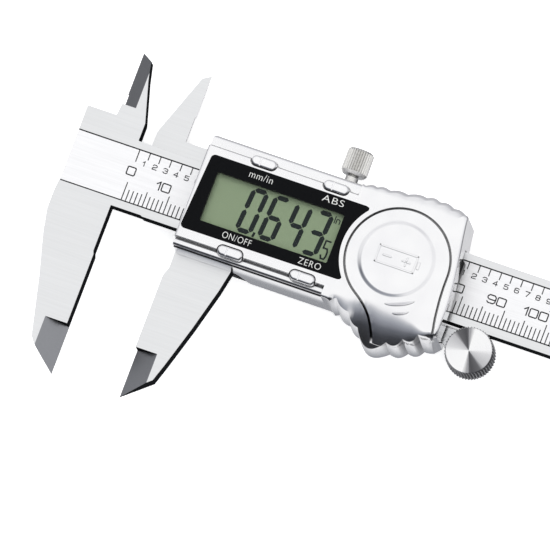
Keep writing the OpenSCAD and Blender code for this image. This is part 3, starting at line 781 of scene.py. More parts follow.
# %% [markdown]
# ## Housing
# The housing is one moulding, chrome plated. Its left part is a straight box around the display with a
# lower ledge along each long side. Its right part swells into a grip: scalloped along the top, and along
# the bottom the front rolls down until a fluted wall cuts it off. It could be sculpted, but a loft keeps it
# exact: each station round the outline says where the wall stands, where the flat face begins and how high
# the wall ends. A quarter ellipse joins wall and face on the plain sides, and a parabola does on the lower
# grip, which rolls over more slowly. The flutes are a second solid, and what both solids share is the
# housing's form.

# %% Stations round the outline
SKIRT_Z = -4.05
GRIP_X = 36.4
RIM_Y = 21.9
STEP_Z = 4.8
EDGE_ROUND = 0.6
CURVE_STEPS = 24


def through(points, steps):
    """A smooth curve through the points, which may have any number of values each."""
    vectors = [Vector(p) for p in points]
    ends = [vectors[0] * 2 - vectors[1]] + vectors + [vectors[-1] * 2 - vectors[-2]]
    curve = []
    for i in range(1, len(ends) - 2):
        a, b, c, d = ends[i - 1:i + 3]
        for k in range(steps):
            t = k / steps
            curve.append((b * 2 + (c - a) * t + (a * 2 - b * 5 + c * 4 - d) * t ** 2
                          + (b * 3 - a - c * 3 + d) * t ** 3) / 2)
    return curve + [vectors[-1]]


def bumps(count, steps, height):
    """The height of each point along a row of rounded bumps."""
    return [height * abs(math.sin(math.pi * count * i / steps)) for i in range(steps + 1)]


# Each station holds four things: the point on the wall, the point where the flat face begins, the height at
# which the wall ends, and how far the station belongs to the lower grip, from 0 to 1
def straight(start, end, steps):
    """Stations along a straight wall. The face lies to the left of the way from start to end."""
    a, b = Vector(start), Vector(end)
    inward = Vector((-(b - a).y, (b - a).x)).normalized() * EDGE_ROUND
    walls = [a.lerp(b, i / steps) for i in range(steps + 1)]
    return [(wall, wall + inward, FACE_Z - EDGE_ROUND, 0.0) for wall in walls]


def corner(x, y, radius, start, end):
    """Stations round a corner."""
    walls, faces = arc(x, y, radius, start, end), arc(x, y, radius - EDGE_ROUND, start, end)
    return [(wall, face, FACE_Z - EDGE_ROUND, 0.0) for wall, face in zip(walls, faces)]


print("plain walls round over by", EDGE_ROUND, "mm")

# %% The fluted lower grip
# The notch at the end of each flute, and how far the flute before it swells
FLUTES = [((37.9, -5.55), 0.0), ((39.6, -5.6), 0.2), ((42.9, -7.2), 0.5), ((45.8, -9.2), 0.5),
          ((53.3, -10.35), 2.45), ((57.1, -8.9), 0.85), ((60.4, -7.3), 0.85), ((63.9, -5.3), 0.7)]
# Below 1 this fills out a flute's flanks, so that the notches between them are sharp
FLUTE_FULLNESS = 0.88
FLUTE_STEPS = 16
# Where the flat face begins, and where the roll would run out if no wall cut it off, with its height there
FACE_LINE = [(37.9, -4.7), (39.4, -3.0), (42.0, -1.7), (46.0, -1.3), (50.0, -1.6), (53.2, -2.1),
             (57.0, -3.3), (60.6, -5.0), (63.0, -4.8)]
ROLL_LINE = [(37.9, -5.5, 8.6), (39.6, -5.8, 8.3), (42.9, -7.4, 7.6), (45.9, -9.5, 4.9), (49.6, -11.0, 4.3),
             (53.3, -10.8, 4.6), (57.1, -9.3, 6.3), (60.4, -7.7, 7.6), (63.9, -5.5, 7.9)]
skirt = [Vector(FLUTES[0][0])]
for (start, _), (end, swell) in zip(FLUTES, FLUTES[1:]):
    a, b = Vector(start), Vector(end)
    outwards = Vector(((b - a).y, -(b - a).x)).normalized()
    steps = FLUTE_STEPS * (2 if swell > 1 else 1)
    for i in range(1, steps + 1):
        skirt.append(a.lerp(b, i / steps) + outwards * swell * math.sin(math.pi * i / steps) ** FLUTE_FULLNESS)
roll_curve = through(ROLL_LINE, CURVE_STEPS)
face_curve = through(FACE_LINE, CURVE_STEPS)
lower_grip = []
for i in range(len(skirt)):
    share = i / (len(skirt) - 1)
    nearest = round(share * (len(face_curve) - 1))
    # The grip fades in and out over its first tenth and its last fourteenth
    grip = min(1.0, share * 10, (1 - share) * 14)
    lower_grip.append((roll_curve[nearest].xy, face_curve[nearest], roll_curve[nearest].z, grip))
print("lower grip:", len(lower_grip), "stations over", len(FLUTES) - 1, "flutes")

# %% The scalloped upper grip, the end wall and the whole outline
TOP_BUMPS, BUMP_HEIGHT, BUMP_FOOT = 7, 0.42, 0.15
TOP_ROUND = 2.0
TOP_FACE_Y = 20.9
# X and Y of the wall, and X of the face's edge beside it
TOP_LINE = [(60.6, 22.75, 58.9), (57.4, 23.5, 56.2), (54.0, 23.9, 53.4), (50.8, 23.85, 50.4),
            (46.5, 23.2, 46.3), (42.5, 22.75, 42.6), (39.5, 22.5, 39.9), (GRIP_X + 0.6, 21.95, GRIP_X + 0.7)]
END_LINE = [(64.0, -3.6), (64.0, 1.3), (63.75, 5), (63.35, 8.3), (62.7, 12.6), (61.9, 17.4), (61.35, 21.1)]
top_line = through(TOP_LINE, 10)
upper_grip = []
for (x, y, face_x), bump in zip(top_line, bumps(TOP_BUMPS, len(top_line) - 1, BUMP_HEIGHT)):
    wall = Vector((x, y - BUMP_FOOT + bump))
    upper_grip.append((wall, Vector((face_x, TOP_FACE_Y)), FACE_Z - TOP_ROUND, 0.0))

right_wall = [(Vector((64.0, -4.6)), Vector((63.35, -3.9)), 8.85, 0.0)]
for p in through(END_LINE, 5):
    right_wall.append((p, p + Vector((-EDGE_ROUND, -0.1)), FACE_Z - EDGE_ROUND, 0.0))
right_corner = []
for k, (outer, inner) in enumerate(zip(arc(60.4, 21.9, 0.9, 0, 78, 6), arc(59.65, 21.1, 0.7, 0, 78, 6))):
    right_corner.append((outer, inner, FACE_Z - EDGE_ROUND - 1.3 * k / 6, 0.0))

left_low = corner(1.65, -4.4, 1, 180, 270)
left_high = corner(1.65, RIM_Y - 1, 1, 90, 180)
before_grip = left_low + straight((2.2, -5.4), (37.3, -5.4), 24)
after_grip = (right_wall + right_corner + upper_grip + straight((GRIP_X - 0.2, RIM_Y), (2.2, RIM_Y), 24)
              + left_high + straight((0.65, 20.0), (0.65, -3.8), 12))
stations = before_grip + lower_grip + after_grip
walls = [station[0] for station in stations]
grips = [station[3] for station in stations]
fluted_line = [s[0] for s in before_grip] + skirt + [s[0] for s in after_grip]
print("outline:", len(stations), "stations")


# %% Loft of the housing's outer form
# The roll starts this much further out than the wall, as a share of its width, so that the wall cuts it
OVERRUN = 0.5
# The fluted wall leans in by this much times the square of its height, so that it is upright at its foot
WALL_LEAN = 0.006
# The foot of the wall is broken by this much, and plain walls stand this far clear of the fluted cutter
FOOT_BREAK = 0.15
CLEARANCE = 0.5


def body_rings(roll_steps=10):
    """Rings from the lower edge up to the flat face. On the grip the roll starts outside the wall."""
    starts = [1 + OVERRUN * grip for grip in grips]
    foot = [face.lerp(wall, start) for (wall, face, _, _), start in zip(stations, starts)]
    rings = [level(grown(foot, -FOOT_BREAK), SKIRT_Z), level(foot, SKIRT_Z + FOOT_BREAK)]
    for k in range(roll_steps + 1):
        turn = math.pi / 2 * k / roll_steps
        ring = []
        for (wall, face, edge_z, grip), start in zip(stations, starts):
            rise = FACE_Z - edge_z
            away = start * (1 - k / roll_steps)
            circle = Vector((*face.lerp(wall, math.cos(turn)), edge_z + rise * math.sin(turn)))
            parabola = Vector((*face.lerp(wall, away), FACE_Z - rise * away ** 2))
            ring.append(circle.lerp(parabola, grip))
        rings.append(ring)
    return rings


def fluted_wall():
    """The prism that cuts the roll off. It is upright at its foot and leans in more and more as it rises."""
    out = normals(walls)
    clear = [p + n * CLEARANCE * (1 - grip) for p, n, grip in zip(fluted_line, out, grips)]
    rings = [level([p - n * FOOT_BREAK * grip for p, n, grip in zip(clear, out, grips)], SKIRT_Z - 0.001)]
    for z in (SKIRT_Z + FOOT_BREAK, -2.5, -1, 0.5, 2, 3.5, 5, 6.5, 8, FACE_Z + 1):
        lean = WALL_LEAN * (z - SKIRT_Z) ** 2
        rings.append(level([p - n * lean * grip for p, n, grip in zip(clear, out, grips)], z))
    return loft(rings)


def rolled_form(drop):
    """The face with its rolled edges, moved down by drop, before the fluted wall cuts it off."""
    return solid(loft([[p - Vector((0, 0, drop)) for p in ring] for ring in body_rings()]))


def outer_form(drop):
    """The whole outer form, moved down by drop."""
    return carve(rolled_form(drop), solid(fluted_wall()), "INTERSECT")


housing = outer_form(0.0)
print("housing form:", len(stations), "stations,", len(housing.data.polygons), "faces")

# %% [markdown]
# ### Ledges, pockets and ways through
# The two ledges are cut with one long bar each, whose section has the small round that the ledge's outer
# edge needs. The battery cover has to follow the rolled front of the grip exactly, so it is cut from the
# same loft: the pocket is the cover's outline, stopped by a copy of the housing's own surface 1.1 mm
# further down. Inside, the housing is hollow from below, with a ring round the cell and four posts for its
# screws.

# %% Ledges along the display
LEDGE_Z = 7.7
LOW_FOOT, HIGH_FOOT, LOW_RIM = -2.95, 19.0, -5.4
LIP_DROP = 1.1
# A height that is clear above the housing, where the cutting bars end
ABOVE = 11


def ledge_floor(foot, side):
    """The part of a ledge's section that both share: the step, the groove at its foot and the flat floor."""
    return [(foot + side * across, z) for across, z in
            ((-0.15, ABOVE), (-0.15, FACE_Z + 0.02), (-0.06, FACE_Z - 0.05), (0, FACE_Z - 0.2),
             (0, LEDGE_Z - 0.5), (0.32, LEDGE_Z - 0.5), (0.36, LEDGE_Z - 0.06), (0.46, LEDGE_Z))]


def rolled(foot, side, start, wide, drop):
    """A floor that rolls down from start over the given width."""
    return [(foot + side * (start + wide * k / 8), LEDGE_Z - drop * (k / 8) ** 2) for k in range(9)]


lip_z = LEDGE_Z - LIP_DROP
low_ledge = ledge_floor(LOW_FOOT, -1) + rolled(LOW_FOOT, -1, 1.15, 0.6, 0.75)
low_ledge += [(LOW_FOOT - 1.78, lip_z - 0.45), (LOW_RIM + 0.54, lip_z - 0.45), (LOW_RIM + 0.5, lip_z - 0.06),
              (LOW_RIM + 0.42, lip_z), (LOW_RIM + 0.34, lip_z - 0.12), (LOW_RIM + 0.2, lip_z - 1.0),
              (LOW_RIM + 0.09, lip_z - 2.0), (LOW_RIM + 0.02, lip_z - 3.2), (LOW_RIM, lip_z - 4.6),
              (LOW_RIM - 2, lip_z - 4.6), (LOW_RIM - 2, ABOVE)]
carve(housing, solid(bar_x(low_ledge, -1, GRIP_X)))
high_roll = rolled(HIGH_FOOT, 1, RIM_Y - HIGH_FOOT - 0.75, 0.75, 0.7)
high_ledge = ledge_floor(HIGH_FOOT, 1) + high_roll
high_ledge += [(RIM_Y + 0.01, LEDGE_Z - 1.2), (RIM_Y + 2, LEDGE_Z - 1.2), (RIM_Y + 2, ABOVE)]
carve(housing, solid(bar_x(high_ledge, -1, GRIP_X)))
print("ledges", round(FACE_Z - LEDGE_Z, 2), "mm below the face")

# %% Cover outline and pocket
CELL = Vector((49.55, 8.0))
COVER_R = 11.85
COVER_T = 1.1
# The pocket is this much larger all round than the nominal outline, and the cover this much smaller
POCKET_GAP = 0.28
# The two sides of the tongue, from the disc down to well past the grip
NECK_LEFT = [(44.5, -2.85), (46.1, -4.1), (47.7, -5.85), (49.0, -8.1), (49.8, -10.5), (50.1, -16)]
NECK_RIGHT = [(61.66, 5.5), (61.82, 2.7), (62.05, 0.5), (62.3, -1.6), (62.6, -3.3), (62.9, -5.0), (63.0, -8),
              (63.0, -16)]


def cover_outline(grow):
    """A disc that narrows into a tongue across the lower grip. The right side runs down beside the wall."""
    disc = arc(CELL.x + 0.25, CELL.y - 0.15, COVER_R, 0, 236, 72)
    return grown(disc + through(NECK_LEFT, 6) + through(NECK_RIGHT, 6)[::-1], grow)


pocket = solid(plate(cover_outline(POCKET_GAP), STEP_Z - 0.3, FACE_Z + 2))
carve(pocket, outer_form(COVER_T))
carve(housing, pocket)
print("cover outline has", len(cover_outline(0)), "points")

# %% Display opening, button holes and inner space
BEZEL_T = 0.8
WINDOW = [(4.75, 2.05), (35.05, 2.05), (35.05, 13.7), (4.75, 13.7)]
BUTTON_X = (13.85, 31.05)
BUTTON_Y = (-2.75, 18.95)
BUTTON_L, BUTTON_W = 6.0, 2.4
BUTTON_GAP = 0.17
BITE_R = 13.0
BEZEL_LOW, BEZEL_HIGH = -0.5, 17.1


def bezel_outline(grow):
    """The bezel: a rectangle with a round bite for the battery cover."""
    low = math.degrees(math.asin((BEZEL_LOW - CELL.y) / BITE_R))
    high = math.degrees(math.asin((BEZEL_HIGH - CELL.y) / BITE_R))
    bite = arc(CELL.x, CELL.y, BITE_R, 180 - low - 3.2, 180 - high + 3.6, 24)
    first, last = bite[0], bite[-1]
    low_horn = [Vector((20, -0.6)), Vector((first.x - 0.7, BEZEL_LOW)), Vector((first.x - 0.15, -0.32))]
    high_horn = [Vector((last.x - 0.1, 16.93)), Vector((last.x - 0.75, BEZEL_HIGH)), Vector((20, BEZEL_HIGH))]
    outline = arc(2.1, 0.22, 0.9, 185, 270, 5) + low_horn + bite + high_horn + arc(3.15, 16.2, 0.9, 90, 175, 5)
    return grown(outline, grow)


carve(housing, solid(plate(bezel_outline(0.07), FACE_Z - BEZEL_T - 0.02, FACE_Z, -0.08)))
button_hole = pill(BUTTON_L + 2 * BUTTON_GAP, BUTTON_W + 2 * BUTTON_GAP)
for x in BUTTON_X:
    for y in BUTTON_Y:
        carve(housing, solid(plate(shifted(button_hole, x, y), 5.0, FACE_Z + 2)))
print("bezel seat", BEZEL_T, "mm deep, and", len(BUTTON_X) * len(BUTTON_Y), "button holes")


# %% Hollow inside and ways out
def bar_y(section, y0, y1):
    """A bar along Y whose section is drawn in X and Z."""
    return loft([[Vector((x, y, z)) for x, z in section] for y in (y0, y1)])


SHELL_T = 1.7
CELL_WELL_R = 10.4
LOCK_X, LOCK_HOLE_R = 31.85, 1.9
# The slope that cuts the skirt away above the jaw's shoulder, in X and Z
SHOULDER = [(-1, -6), (18.9, -6), (18.2, -4.1), (17.6, -3.0), (16.6, -0.9), (15.9, 0.8), (15.2, 1.8),
            (14.2, 2.1), (-1, 2.1)]
# The tight corners are left out here, because their arcs would cross over themselves when they shrink
tight = right_corner + left_low + left_high
hollow = grown([station[0] for station in stations if station not in tight], -SHELL_T)
lock_hole = [(p.x + LOCK_X, p.y) for p in arc(0, 0, LOCK_HOLE_R, 0, 360, 24)[:-1]]
CUTTERS = {
    "slider frame": box((2.0, -3.8, -6), (60.4, 20.2, 6.5)),
    "board and display": box((2.0, -1.75, 0), (36.85, 17.8, 8.35)),
    "window": plate(rounded(WINDOW, 0.4), 5, FACE_Z + 1),
    "cell": plate(arc(CELL.x, CELL.y, CELL_WELL_R, 0, 360, 96)[:-1], 0, FACE_Z),
    "hollow skirt": plate(hollow, SKIRT_Z - 1, STEP_Z - 1.2),
    "beam's way in": box((-1, -3.7, SKIRT_Z - 1), (2.5, 20.3, 2.25)),
    "beam's way out": box((58, -4.7, SKIRT_Z - 1), (66, 16.4, 2.25)),
    "wiper": box((62.1, -0.2, 0), (66, 16.2, 4.25)),
    "jaw's shoulder": bar_y(SHOULDER, -8, -3.0),
    "lock screw": bar_y(lock_hole, 19.4, 25),
}
for cutter in CUTTERS.values():
    carve(housing, solid(cutter))
print("room made for", ", ".join(CUTTERS), "and", len(housing.data.polygons), "faces left")


# %% Inner ring and screw posts
def tube(x, y, outer, inner, low, high, steps=48):
    """A turned ring with a square section."""
    skin = bmesh.new()
    rows = [[skin.verts.new((p.x, p.y, z)) for p in arc(x, y, radius, 0, 360, steps)[:-1]]
            for radius, z in ((outer, low), (outer, high), (inner, high), (inner, low))]
    for a, b in zip(rows, rows[1:] + rows[:1]):
        for i in range(steps):
            j = (i + 1) % steps
            skin.faces.new((a[i], a[j], b[j], b[i]))
    bmesh.ops.recalc_face_normals(skin, faces=skin.faces)
    return skin


POSTS = [(6, -2.1), (6, 18.4), (39.5, 18.6), (39.5, -2.1)]
ring = tube(CELL.x, CELL.y, 12.0, CELL_WELL_R, 3.15, 6.55, 96)
attach(housing, [ring] + [tube(x, y, 2.0, 0.96, 3.0, 6.55, 32) for x, y in POSTS])
settle(housing, "housing_shell", ON_SLIDER, satin_chrome, "slider", ["housing"])

# %% [markdown]
# ## Battery cover
# The cover is cut from the same form as the housing, so its tongue rolls down with the grip. A low dome,
# 0.38 mm high, sits on the disc. It carries a plain battery pictogram in relief, and two crescents below it
# give the thumb a hold. The pictogram stands in for lettering.

# %% Cover and dome
cover = outer_form(0.0)
carve(cover, solid(plate(cover_outline(-POCKET_GAP), STEP_Z - 0.2, FACE_Z + 2)), "INTERSECT")
carve(cover, outer_form(COVER_T - 0.04))
DOME_H, DOME_R, DOME_SLOPE = 0.38, 8.9, 1.15
dome_profile = [(0, FACE_Z - 0.3), (DOME_R, FACE_Z - 0.3)]
for k in range(13):
    t = k / 12
    rise = DOME_H * (0.5 - 0.5 * math.cos(math.pi * t))
    dome_profile.append((DOME_R - DOME_SLOPE * t, FACE_Z + 0.001 + rise))
dome_profile += [(5.0, FACE_Z + DOME_H + 0.004), (0, FACE_Z + DOME_H + 0.005)]
dome = revolve(dome_profile, CELL.x, CELL.y)
print("dome", 2 * DOME_R, "mm across and", DOME_H, "mm high")

# %% Pictogram and thumb ridges
RELIEF = 0.11
RIDGE_TURN = math.radians(22.5)
symbol_top = FACE_Z + DOME_H


def raised(outline):
    """A low relief on the dome with a rounded upper edge."""
    return plate(shifted(outline, CELL.x, CELL.y), symbol_top - 0.1, symbol_top + RELIEF, 0.1, 3)


def frame_bar(x0, y0, x1, y1):
    """One rounded bar of the pictogram."""
    return raised(rounded([(x0, y0), (x1, y0), (x1, y1), (x0, y1)], 0.16, 3))


# The battery's outline, its pole, a plus sign and a minus sign
BAR, HALF_L, HALF_H = 0.44, 4.7, 2.15
BARS = [(-HALF_L, HALF_H - BAR, HALF_L, HALF_H), (-HALF_L, -HALF_H, HALF_L, -HALF_H + BAR),
        (-HALF_L, -HALF_H, -HALF_L + BAR, HALF_H), (HALF_L - BAR, -HALF_H, HALF_L, HALF_H),
        (HALF_L + 0.15, -0.9, HALF_L + 0.8, 0.9), (1.2, -BAR / 2, 3.4, BAR / 2),
        (2.3 - BAR / 2, -1.1, 2.3 + BAR / 2, 1.1), (-3.3, -BAR / 2, -1.1, BAR / 2)]
reliefs = [frame_bar(*bar) for bar in BARS]


def crescent(x, y, half_width, deep, turn):
    """A thumb ridge: straight above, bowed below, and highest at its lower edge."""
    angles = [math.radians(-84 + 168 * i / 12) for i in range(13)]
    below = [Vector((half_width * math.sin(a), -deep * math.cos(a))) for a in angles]
    outline = below + [Vector((half_width * 0.6, 0.05)), Vector((-half_width * 0.6, 0.05))]
    spin = Matrix.Rotation(turn, 2)
    rings = [level([spin @ p + Vector((x, y)) for p in outline], FACE_Z - 0.9)]
    for shrink, lift in ((0.0, 0.0), (0.03, 0.07), (0.1, 0.12), (0.2, 0.14)):
        ring = []
        for p, inset in zip(outline, grown(outline, -shrink)):
            rise = 0.02 + (0.24 + lift) * min(1.0, max(0.0, -p.y / deep))
            ring.append(Vector((*(spin @ inset + Vector((x, y))), FACE_Z + rise)))
        rings.append(ring)
    return loft(rings)


reliefs.append(crescent(53.5, -0.9, 3.4, 0.95, RIDGE_TURN))
reliefs.append(crescent(54.5, -3.0, 1.9, 0.7, RIDGE_TURN))
inner_ring = tube(CELL.x, CELL.y, 10.2, 9.2, 7.55, FACE_Z - COVER_T + 0.05, 96)
attach(cover, [dome, inner_ring] + reliefs)
settle(cover, "battery_cover_shell", ON_SLIDER, satin_chrome, "battery_cover", ["battery_cover"])

# %% [markdown]
# ### Painted shade in the gap
# A black rubber band lies in the gap round the cover, just below the surface, as painted shade: it stands for
# the shadow in the gap. It is drawn as a band between two outlines of the cover and is then cut to the form of
# the housing, so that it follows the rolled grip too.

# %% Painted shade band in the gap
GAP_BAND_DEPTH = 0.1
# Painted shade: a black band in the gap stands for the gap's shadow
gap_shade_band = solid(plate(cover_outline(0.25), STEP_Z - 0.1, FACE_Z + 2))
carve(gap_shade_band, solid(plate(cover_outline(-0.26), STEP_Z - 1, FACE_Z + 3)))
carve(gap_shade_band, outer_form(GAP_BAND_DEPTH), "INTERSECT")
carve(gap_shade_band, rolled_form(COVER_T - GAP_BAND_DEPTH))
settle(gap_shade_band, "cover_gap_shade_band", ON_SLIDER, black_rubber, "battery_cover")

# %% [markdown]
# ## Bezel, labels and display
# The bezel is a black panel, printed from behind on the real caliper. Its labels are plain functional
# words, so they stay. The display's digits are seven-segment figures that lean by a few degrees, with
# pointed segments and hairline gaps. They are thin solids just above the reflector, as the crystal layer
# is.

# %% Bezel
bezel = solid(plate(bezel_outline(0), FACE_Z - BEZEL_T, FACE_Z + 0.05, 0.1))
carve(bezel, solid(plate(rounded(WINDOW, 0.3), 7, FACE_Z + 1)))
settle(bezel, "display_bezel", ON_SLIDER, black_panel, "slider", ["bezel"])


# %% Labels
def label(text, name, low, high):
    """Plain lettering fitted into the box from low to high on the bezel."""
    curve = bpy.data.curves.new(name, "FONT")
    curve.body = text
    curve.offset = -0.012
    curve.space_character = 1.1
    curve.extrude = 0.005
    holder = bpy.data.objects.new(name, curve)
    bpy.context.collection.objects.link(holder)
    bpy.context.view_layer.update()
    mesh = bpy.data.meshes.new_from_object(holder.evaluated_get(bpy.context.evaluated_depsgraph_get()))
    bpy.data.objects.remove(holder)
    xs = [v.co.x for v in mesh.vertices]
    ys = [v.co.y for v in mesh.vertices]
    width, height = max(xs) - min(xs), max(ys) - min(ys)
    for vertex in mesh.vertices:
        vertex.co.x = low[0] + (vertex.co.x - min(xs)) / width * (high[0] - low[0])
        vertex.co.y = low[1] + (vertex.co.y - min(ys)) / height * (high[1] - low[1])
        vertex.co.z = FACE_Z + 0.05 + (0.015 if vertex.co.z > 0 else 0.0)
    made = bpy.data.objects.new(name, mesh)
    bpy.context.collection.objects.link(made)
    settle(made, name, ON_SLIDER, white_print, "slider")


LABELS = {"label_units": ("mm/in", (11.7, 14.9), (17.2, 16.5)),
          "label_abs": ("ABS", (29.0, 15.15), (34.1, 16.65)),
          "label_power": ("ON/OFF", (10.8, -0.02), (17.6, 1.45)),
          "label_zero": ("ZERO", (28.9, -0.02), (34.2, 1.45))}
for name, (text, low, high) in LABELS.items():
    label(text, name, low, high)

# %% Digits on the display
lcd_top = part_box("lcd_glass")[1].z / MM
DIGIT_W, DIGIT_H, SEGMENT, SEGMENT_GAP = 4.15, 10.8, 1.1, 0.09
DIGIT_BASE = 2.6
DIGIT_X = (12.5, 17.75, 23.0, 28.0)
LEAN = math.tan(math.radians(4))
LIT = {"0": "abcdef", "6": "acdefg", "4": "bcfg", "3": "abcdg"}


def segment(ink, x0, y0, x1, y1, origin):
    """One pointed bar from (x0, y0) to (x1, y1)."""
    a, b = Vector((x0, y0)), Vector((x1, y1))
    run = (b - a).normalized()
    side = Vector((-run.y, run.x)) * SEGMENT / 2
    a, b = a + run * SEGMENT_GAP, b - run * SEGMENT_GAP
    tip = SEGMENT / 2
    shape = [a, a + run * tip - side, b - run * tip - side, b, b - run * tip + side, a + run * tip + side]
    points = [Vector((origin + p.x + (p.y - DIGIT_BASE) * LEAN, p.y)) for p in shape]
    low = [ink.verts.new((p.x, p.y, lcd_top)) for p in points]
    high = [ink.verts.new((p.x, p.y, lcd_top + INK_FILM)) for p in points]
    ink.faces.new(low[::-1])
    ink.faces.new(high)
    for i in range(6):
        j = (i + 1) % 6
        ink.faces.new((low[i], low[j], high[j], high[i]))


def digit(ink, figure, x, base):
    """A seven-segment figure with its lower left corner at x, base."""
    x0, x1 = SEGMENT / 2, DIGIT_W - SEGMENT / 2
    y0, y1, y2 = base + SEGMENT / 2, base + DIGIT_H / 2, base + DIGIT_H - SEGMENT / 2
    bars = {"a": (x0, y2, x1, y2), "b": (x1, y1, x1, y2), "c": (x1, y0, x1, y1), "d": (x0, y0, x1, y0),
            "e": (x0, y0, x0, y1), "f": (x0, y1, x0, y2), "g": (x0, y1, x1, y1)}
    for bar in LIT[figure]:
        segment(ink, *bars[bar], x)


crystal_ink = bmesh.new()
for figure, x in zip("0643", DIGIT_X):
    digit(crystal_ink, figure, x, DIGIT_BASE)
# The decimal point, the small half-step figure and the unit
stroke(crystal_ink, [(17.05, 2.75), (17.15, 3.35)], 0.55, lcd_top)
write(crystal_ink, "5", 34.1, 2.9, 1.2, 4.2, 0.4, lcd_top)
write(crystal_ink, "in", 34.35, 11.5, 0.75, 1.45, 0.24, lcd_top, gap=0.05)
settle(solid(crystal_ink), "display_digits", ON_SLIDER, segment_ink, "slider")

# %% [markdown]
# ## Buttons
# Four small caps, bright chrome, each in its own hole. The real ones are moulded with a soft pillow top and
# a flange that keeps them from falling out. The pillow is a loft of slots that shrink as they rise.

# %% Button caps
# The caps end a hair below the CAD buttons, which are the highest things on the caliper
BUTTON_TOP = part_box("button_abs")[1].z / MM - 0.002
CAPS = {"units": (BUTTON_X[0], BUTTON_Y[1]), "abs": (BUTTON_X[1], BUTTON_Y[1]),
        "power": (BUTTON_X[0], BUTTON_Y[0]), "zero": (BUTTON_X[1], BUTTON_Y[0])}
FLANGE_LOW, FLANGE_HIGH = 5.7, 6.4
PILLOW_H, PILLOW_IN = 0.75, 0.6
flange = pill(BUTTON_L + 0.9, BUTTON_W + 0.5)
side_wall = pill(BUTTON_L, BUTTON_W)
# A short groove across the cap, which a fingertip can feel, in X and Z
nick = [(-0.28, BUTTON_TOP + 0.5), (-0.22, BUTTON_TOP), (-0.1, BUTTON_TOP - 0.16), (0.1, BUTTON_TOP - 0.16),
        (0.22, BUTTON_TOP), (0.28, BUTTON_TOP + 0.5)]
rings = [level(flange, FLANGE_LOW), level(flange, FLANGE_HIGH), level(side_wall, FLANGE_HIGH + 0.02),
         level(side_wall, BUTTON_TOP - PILLOW_H)]
for k in range(1, 9):
    turn = math.pi / 2 * k / 8
    shrink = PILLOW_IN * (1 - math.cos(turn))
    pillow = pill(BUTTON_L - 2 * shrink, BUTTON_W - 2 * shrink)
    rings.append(level(pillow, BUTTON_TOP - PILLOW_H + PILLOW_H * math.sin(turn)))
for key, (x, y) in CAPS.items():
    cap = solid(loft([[p + Vector((x, y, 0)) for p in ring] for ring in rings]))
    groove = [(x - 0.75 + across, z) for across, z in nick]
    carve(cap, solid(bar_y(groove, y - 2, y + 2)))
    settle(cap, "button_" + key + "_cap", ON_SLIDER, bright_chrome, "button_" + key, ["button_" + key])

# %% [markdown]
# ## Lock screw
# The knob is turned from steel and given a straight knurl, so that fingers can grip it: a wheel presses
# fine teeth all round. Here each tooth is real geometry, one ridge every 12 degrees, with a chamfer at both
# ends.

# %% Knurled knob and shank
lock_low, lock_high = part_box("lock_screw")
lock_x = (lock_low.x + lock_high.x) / 2 / MM - ON_SLIDER.x
knob_top = lock_high.y / MM - EDGE_Y
KNOB_R, KNOB_L, TEETH = 3.05, 5.9, 30
knob_foot = knob_top - KNOB_L


def knurled_ring(radius, depth, teeth, per_tooth=4):
    """Points on a circle with pointed teeth, as (x, z)."""
    count = teeth * per_tooth
    points = []
    for i in range(count):
        bite = abs((i % per_tooth) / per_tooth * 2 - 1)
        r = radius - depth * bite
        a = 2 * math.pi * i / count
        points.append(Vector((r * math.cos(a), r * math.sin(a))))
    return points


def along_y(ring, y):
    """A ring drawn in X and Z, placed at a height on the screw's axis."""
    return [Vector((lock_x + p.x, y, p.y)) for p in ring]


shank_tip = lock_low.y / MM - EDGE_Y
# Radius, depth of the teeth and height on the axis, from the shank's tip up to the middle of the knob's end
KNOB_PROFILE = [
    (1.1, 0, shank_tip), (1.5, 0, shank_tip + 0.4), (1.5, 0, knob_foot - 0.5), (1.2, 0, knob_foot - 0.4),
    (1.2, 0, knob_foot), (2.5, 0, knob_foot), (2.62, 0.0, knob_foot + 0.1), (3.0, 0.1, knob_foot + 0.65),
    (KNOB_R, 0.32, knob_foot + 0.85), (KNOB_R, 0.32, knob_top - 0.5), (2.98, 0.1, knob_top - 0.35),
    (2.65, 0, knob_top - 0.02), (2.4, 0, knob_top), (1.9, 0, knob_top - 0.08), (0.6, 0, knob_top - 0.1)]
rings = [along_y(knurled_ring(radius, depth, TEETH), y) for radius, depth, y in KNOB_PROFILE]
settle(solid(loft(rings)), "lock_screw_knurled", ON_SLIDER, turned_steel, "lock_screw", ["lock_screw"],
       sharp=24.0)

# %% [markdown]
# ## Thumb roller
# The roller is a steel wheel with a fine knurl round its rim. Its face was turned in a lathe, which leaves
# fine rings. Rings reflect light in bright and dark wedges that meet in the middle. Here those wedges are a
# painted reflection in the face's colour, set by the angle round the axis, and the anisotropic shader adds a
# gloss stretched along a tangent that runs round the axis.

# %% Where the roller sits
roller_low, roller_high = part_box("roller_wheel")
roller_centre = (roller_low + roller_high) / 2 / MM - ON_SLIDER
ROLLER_R = (roller_high.x - roller_low.x) / 2 / MM
print("roller", round(2 * ROLLER_R, 2), "mm across")

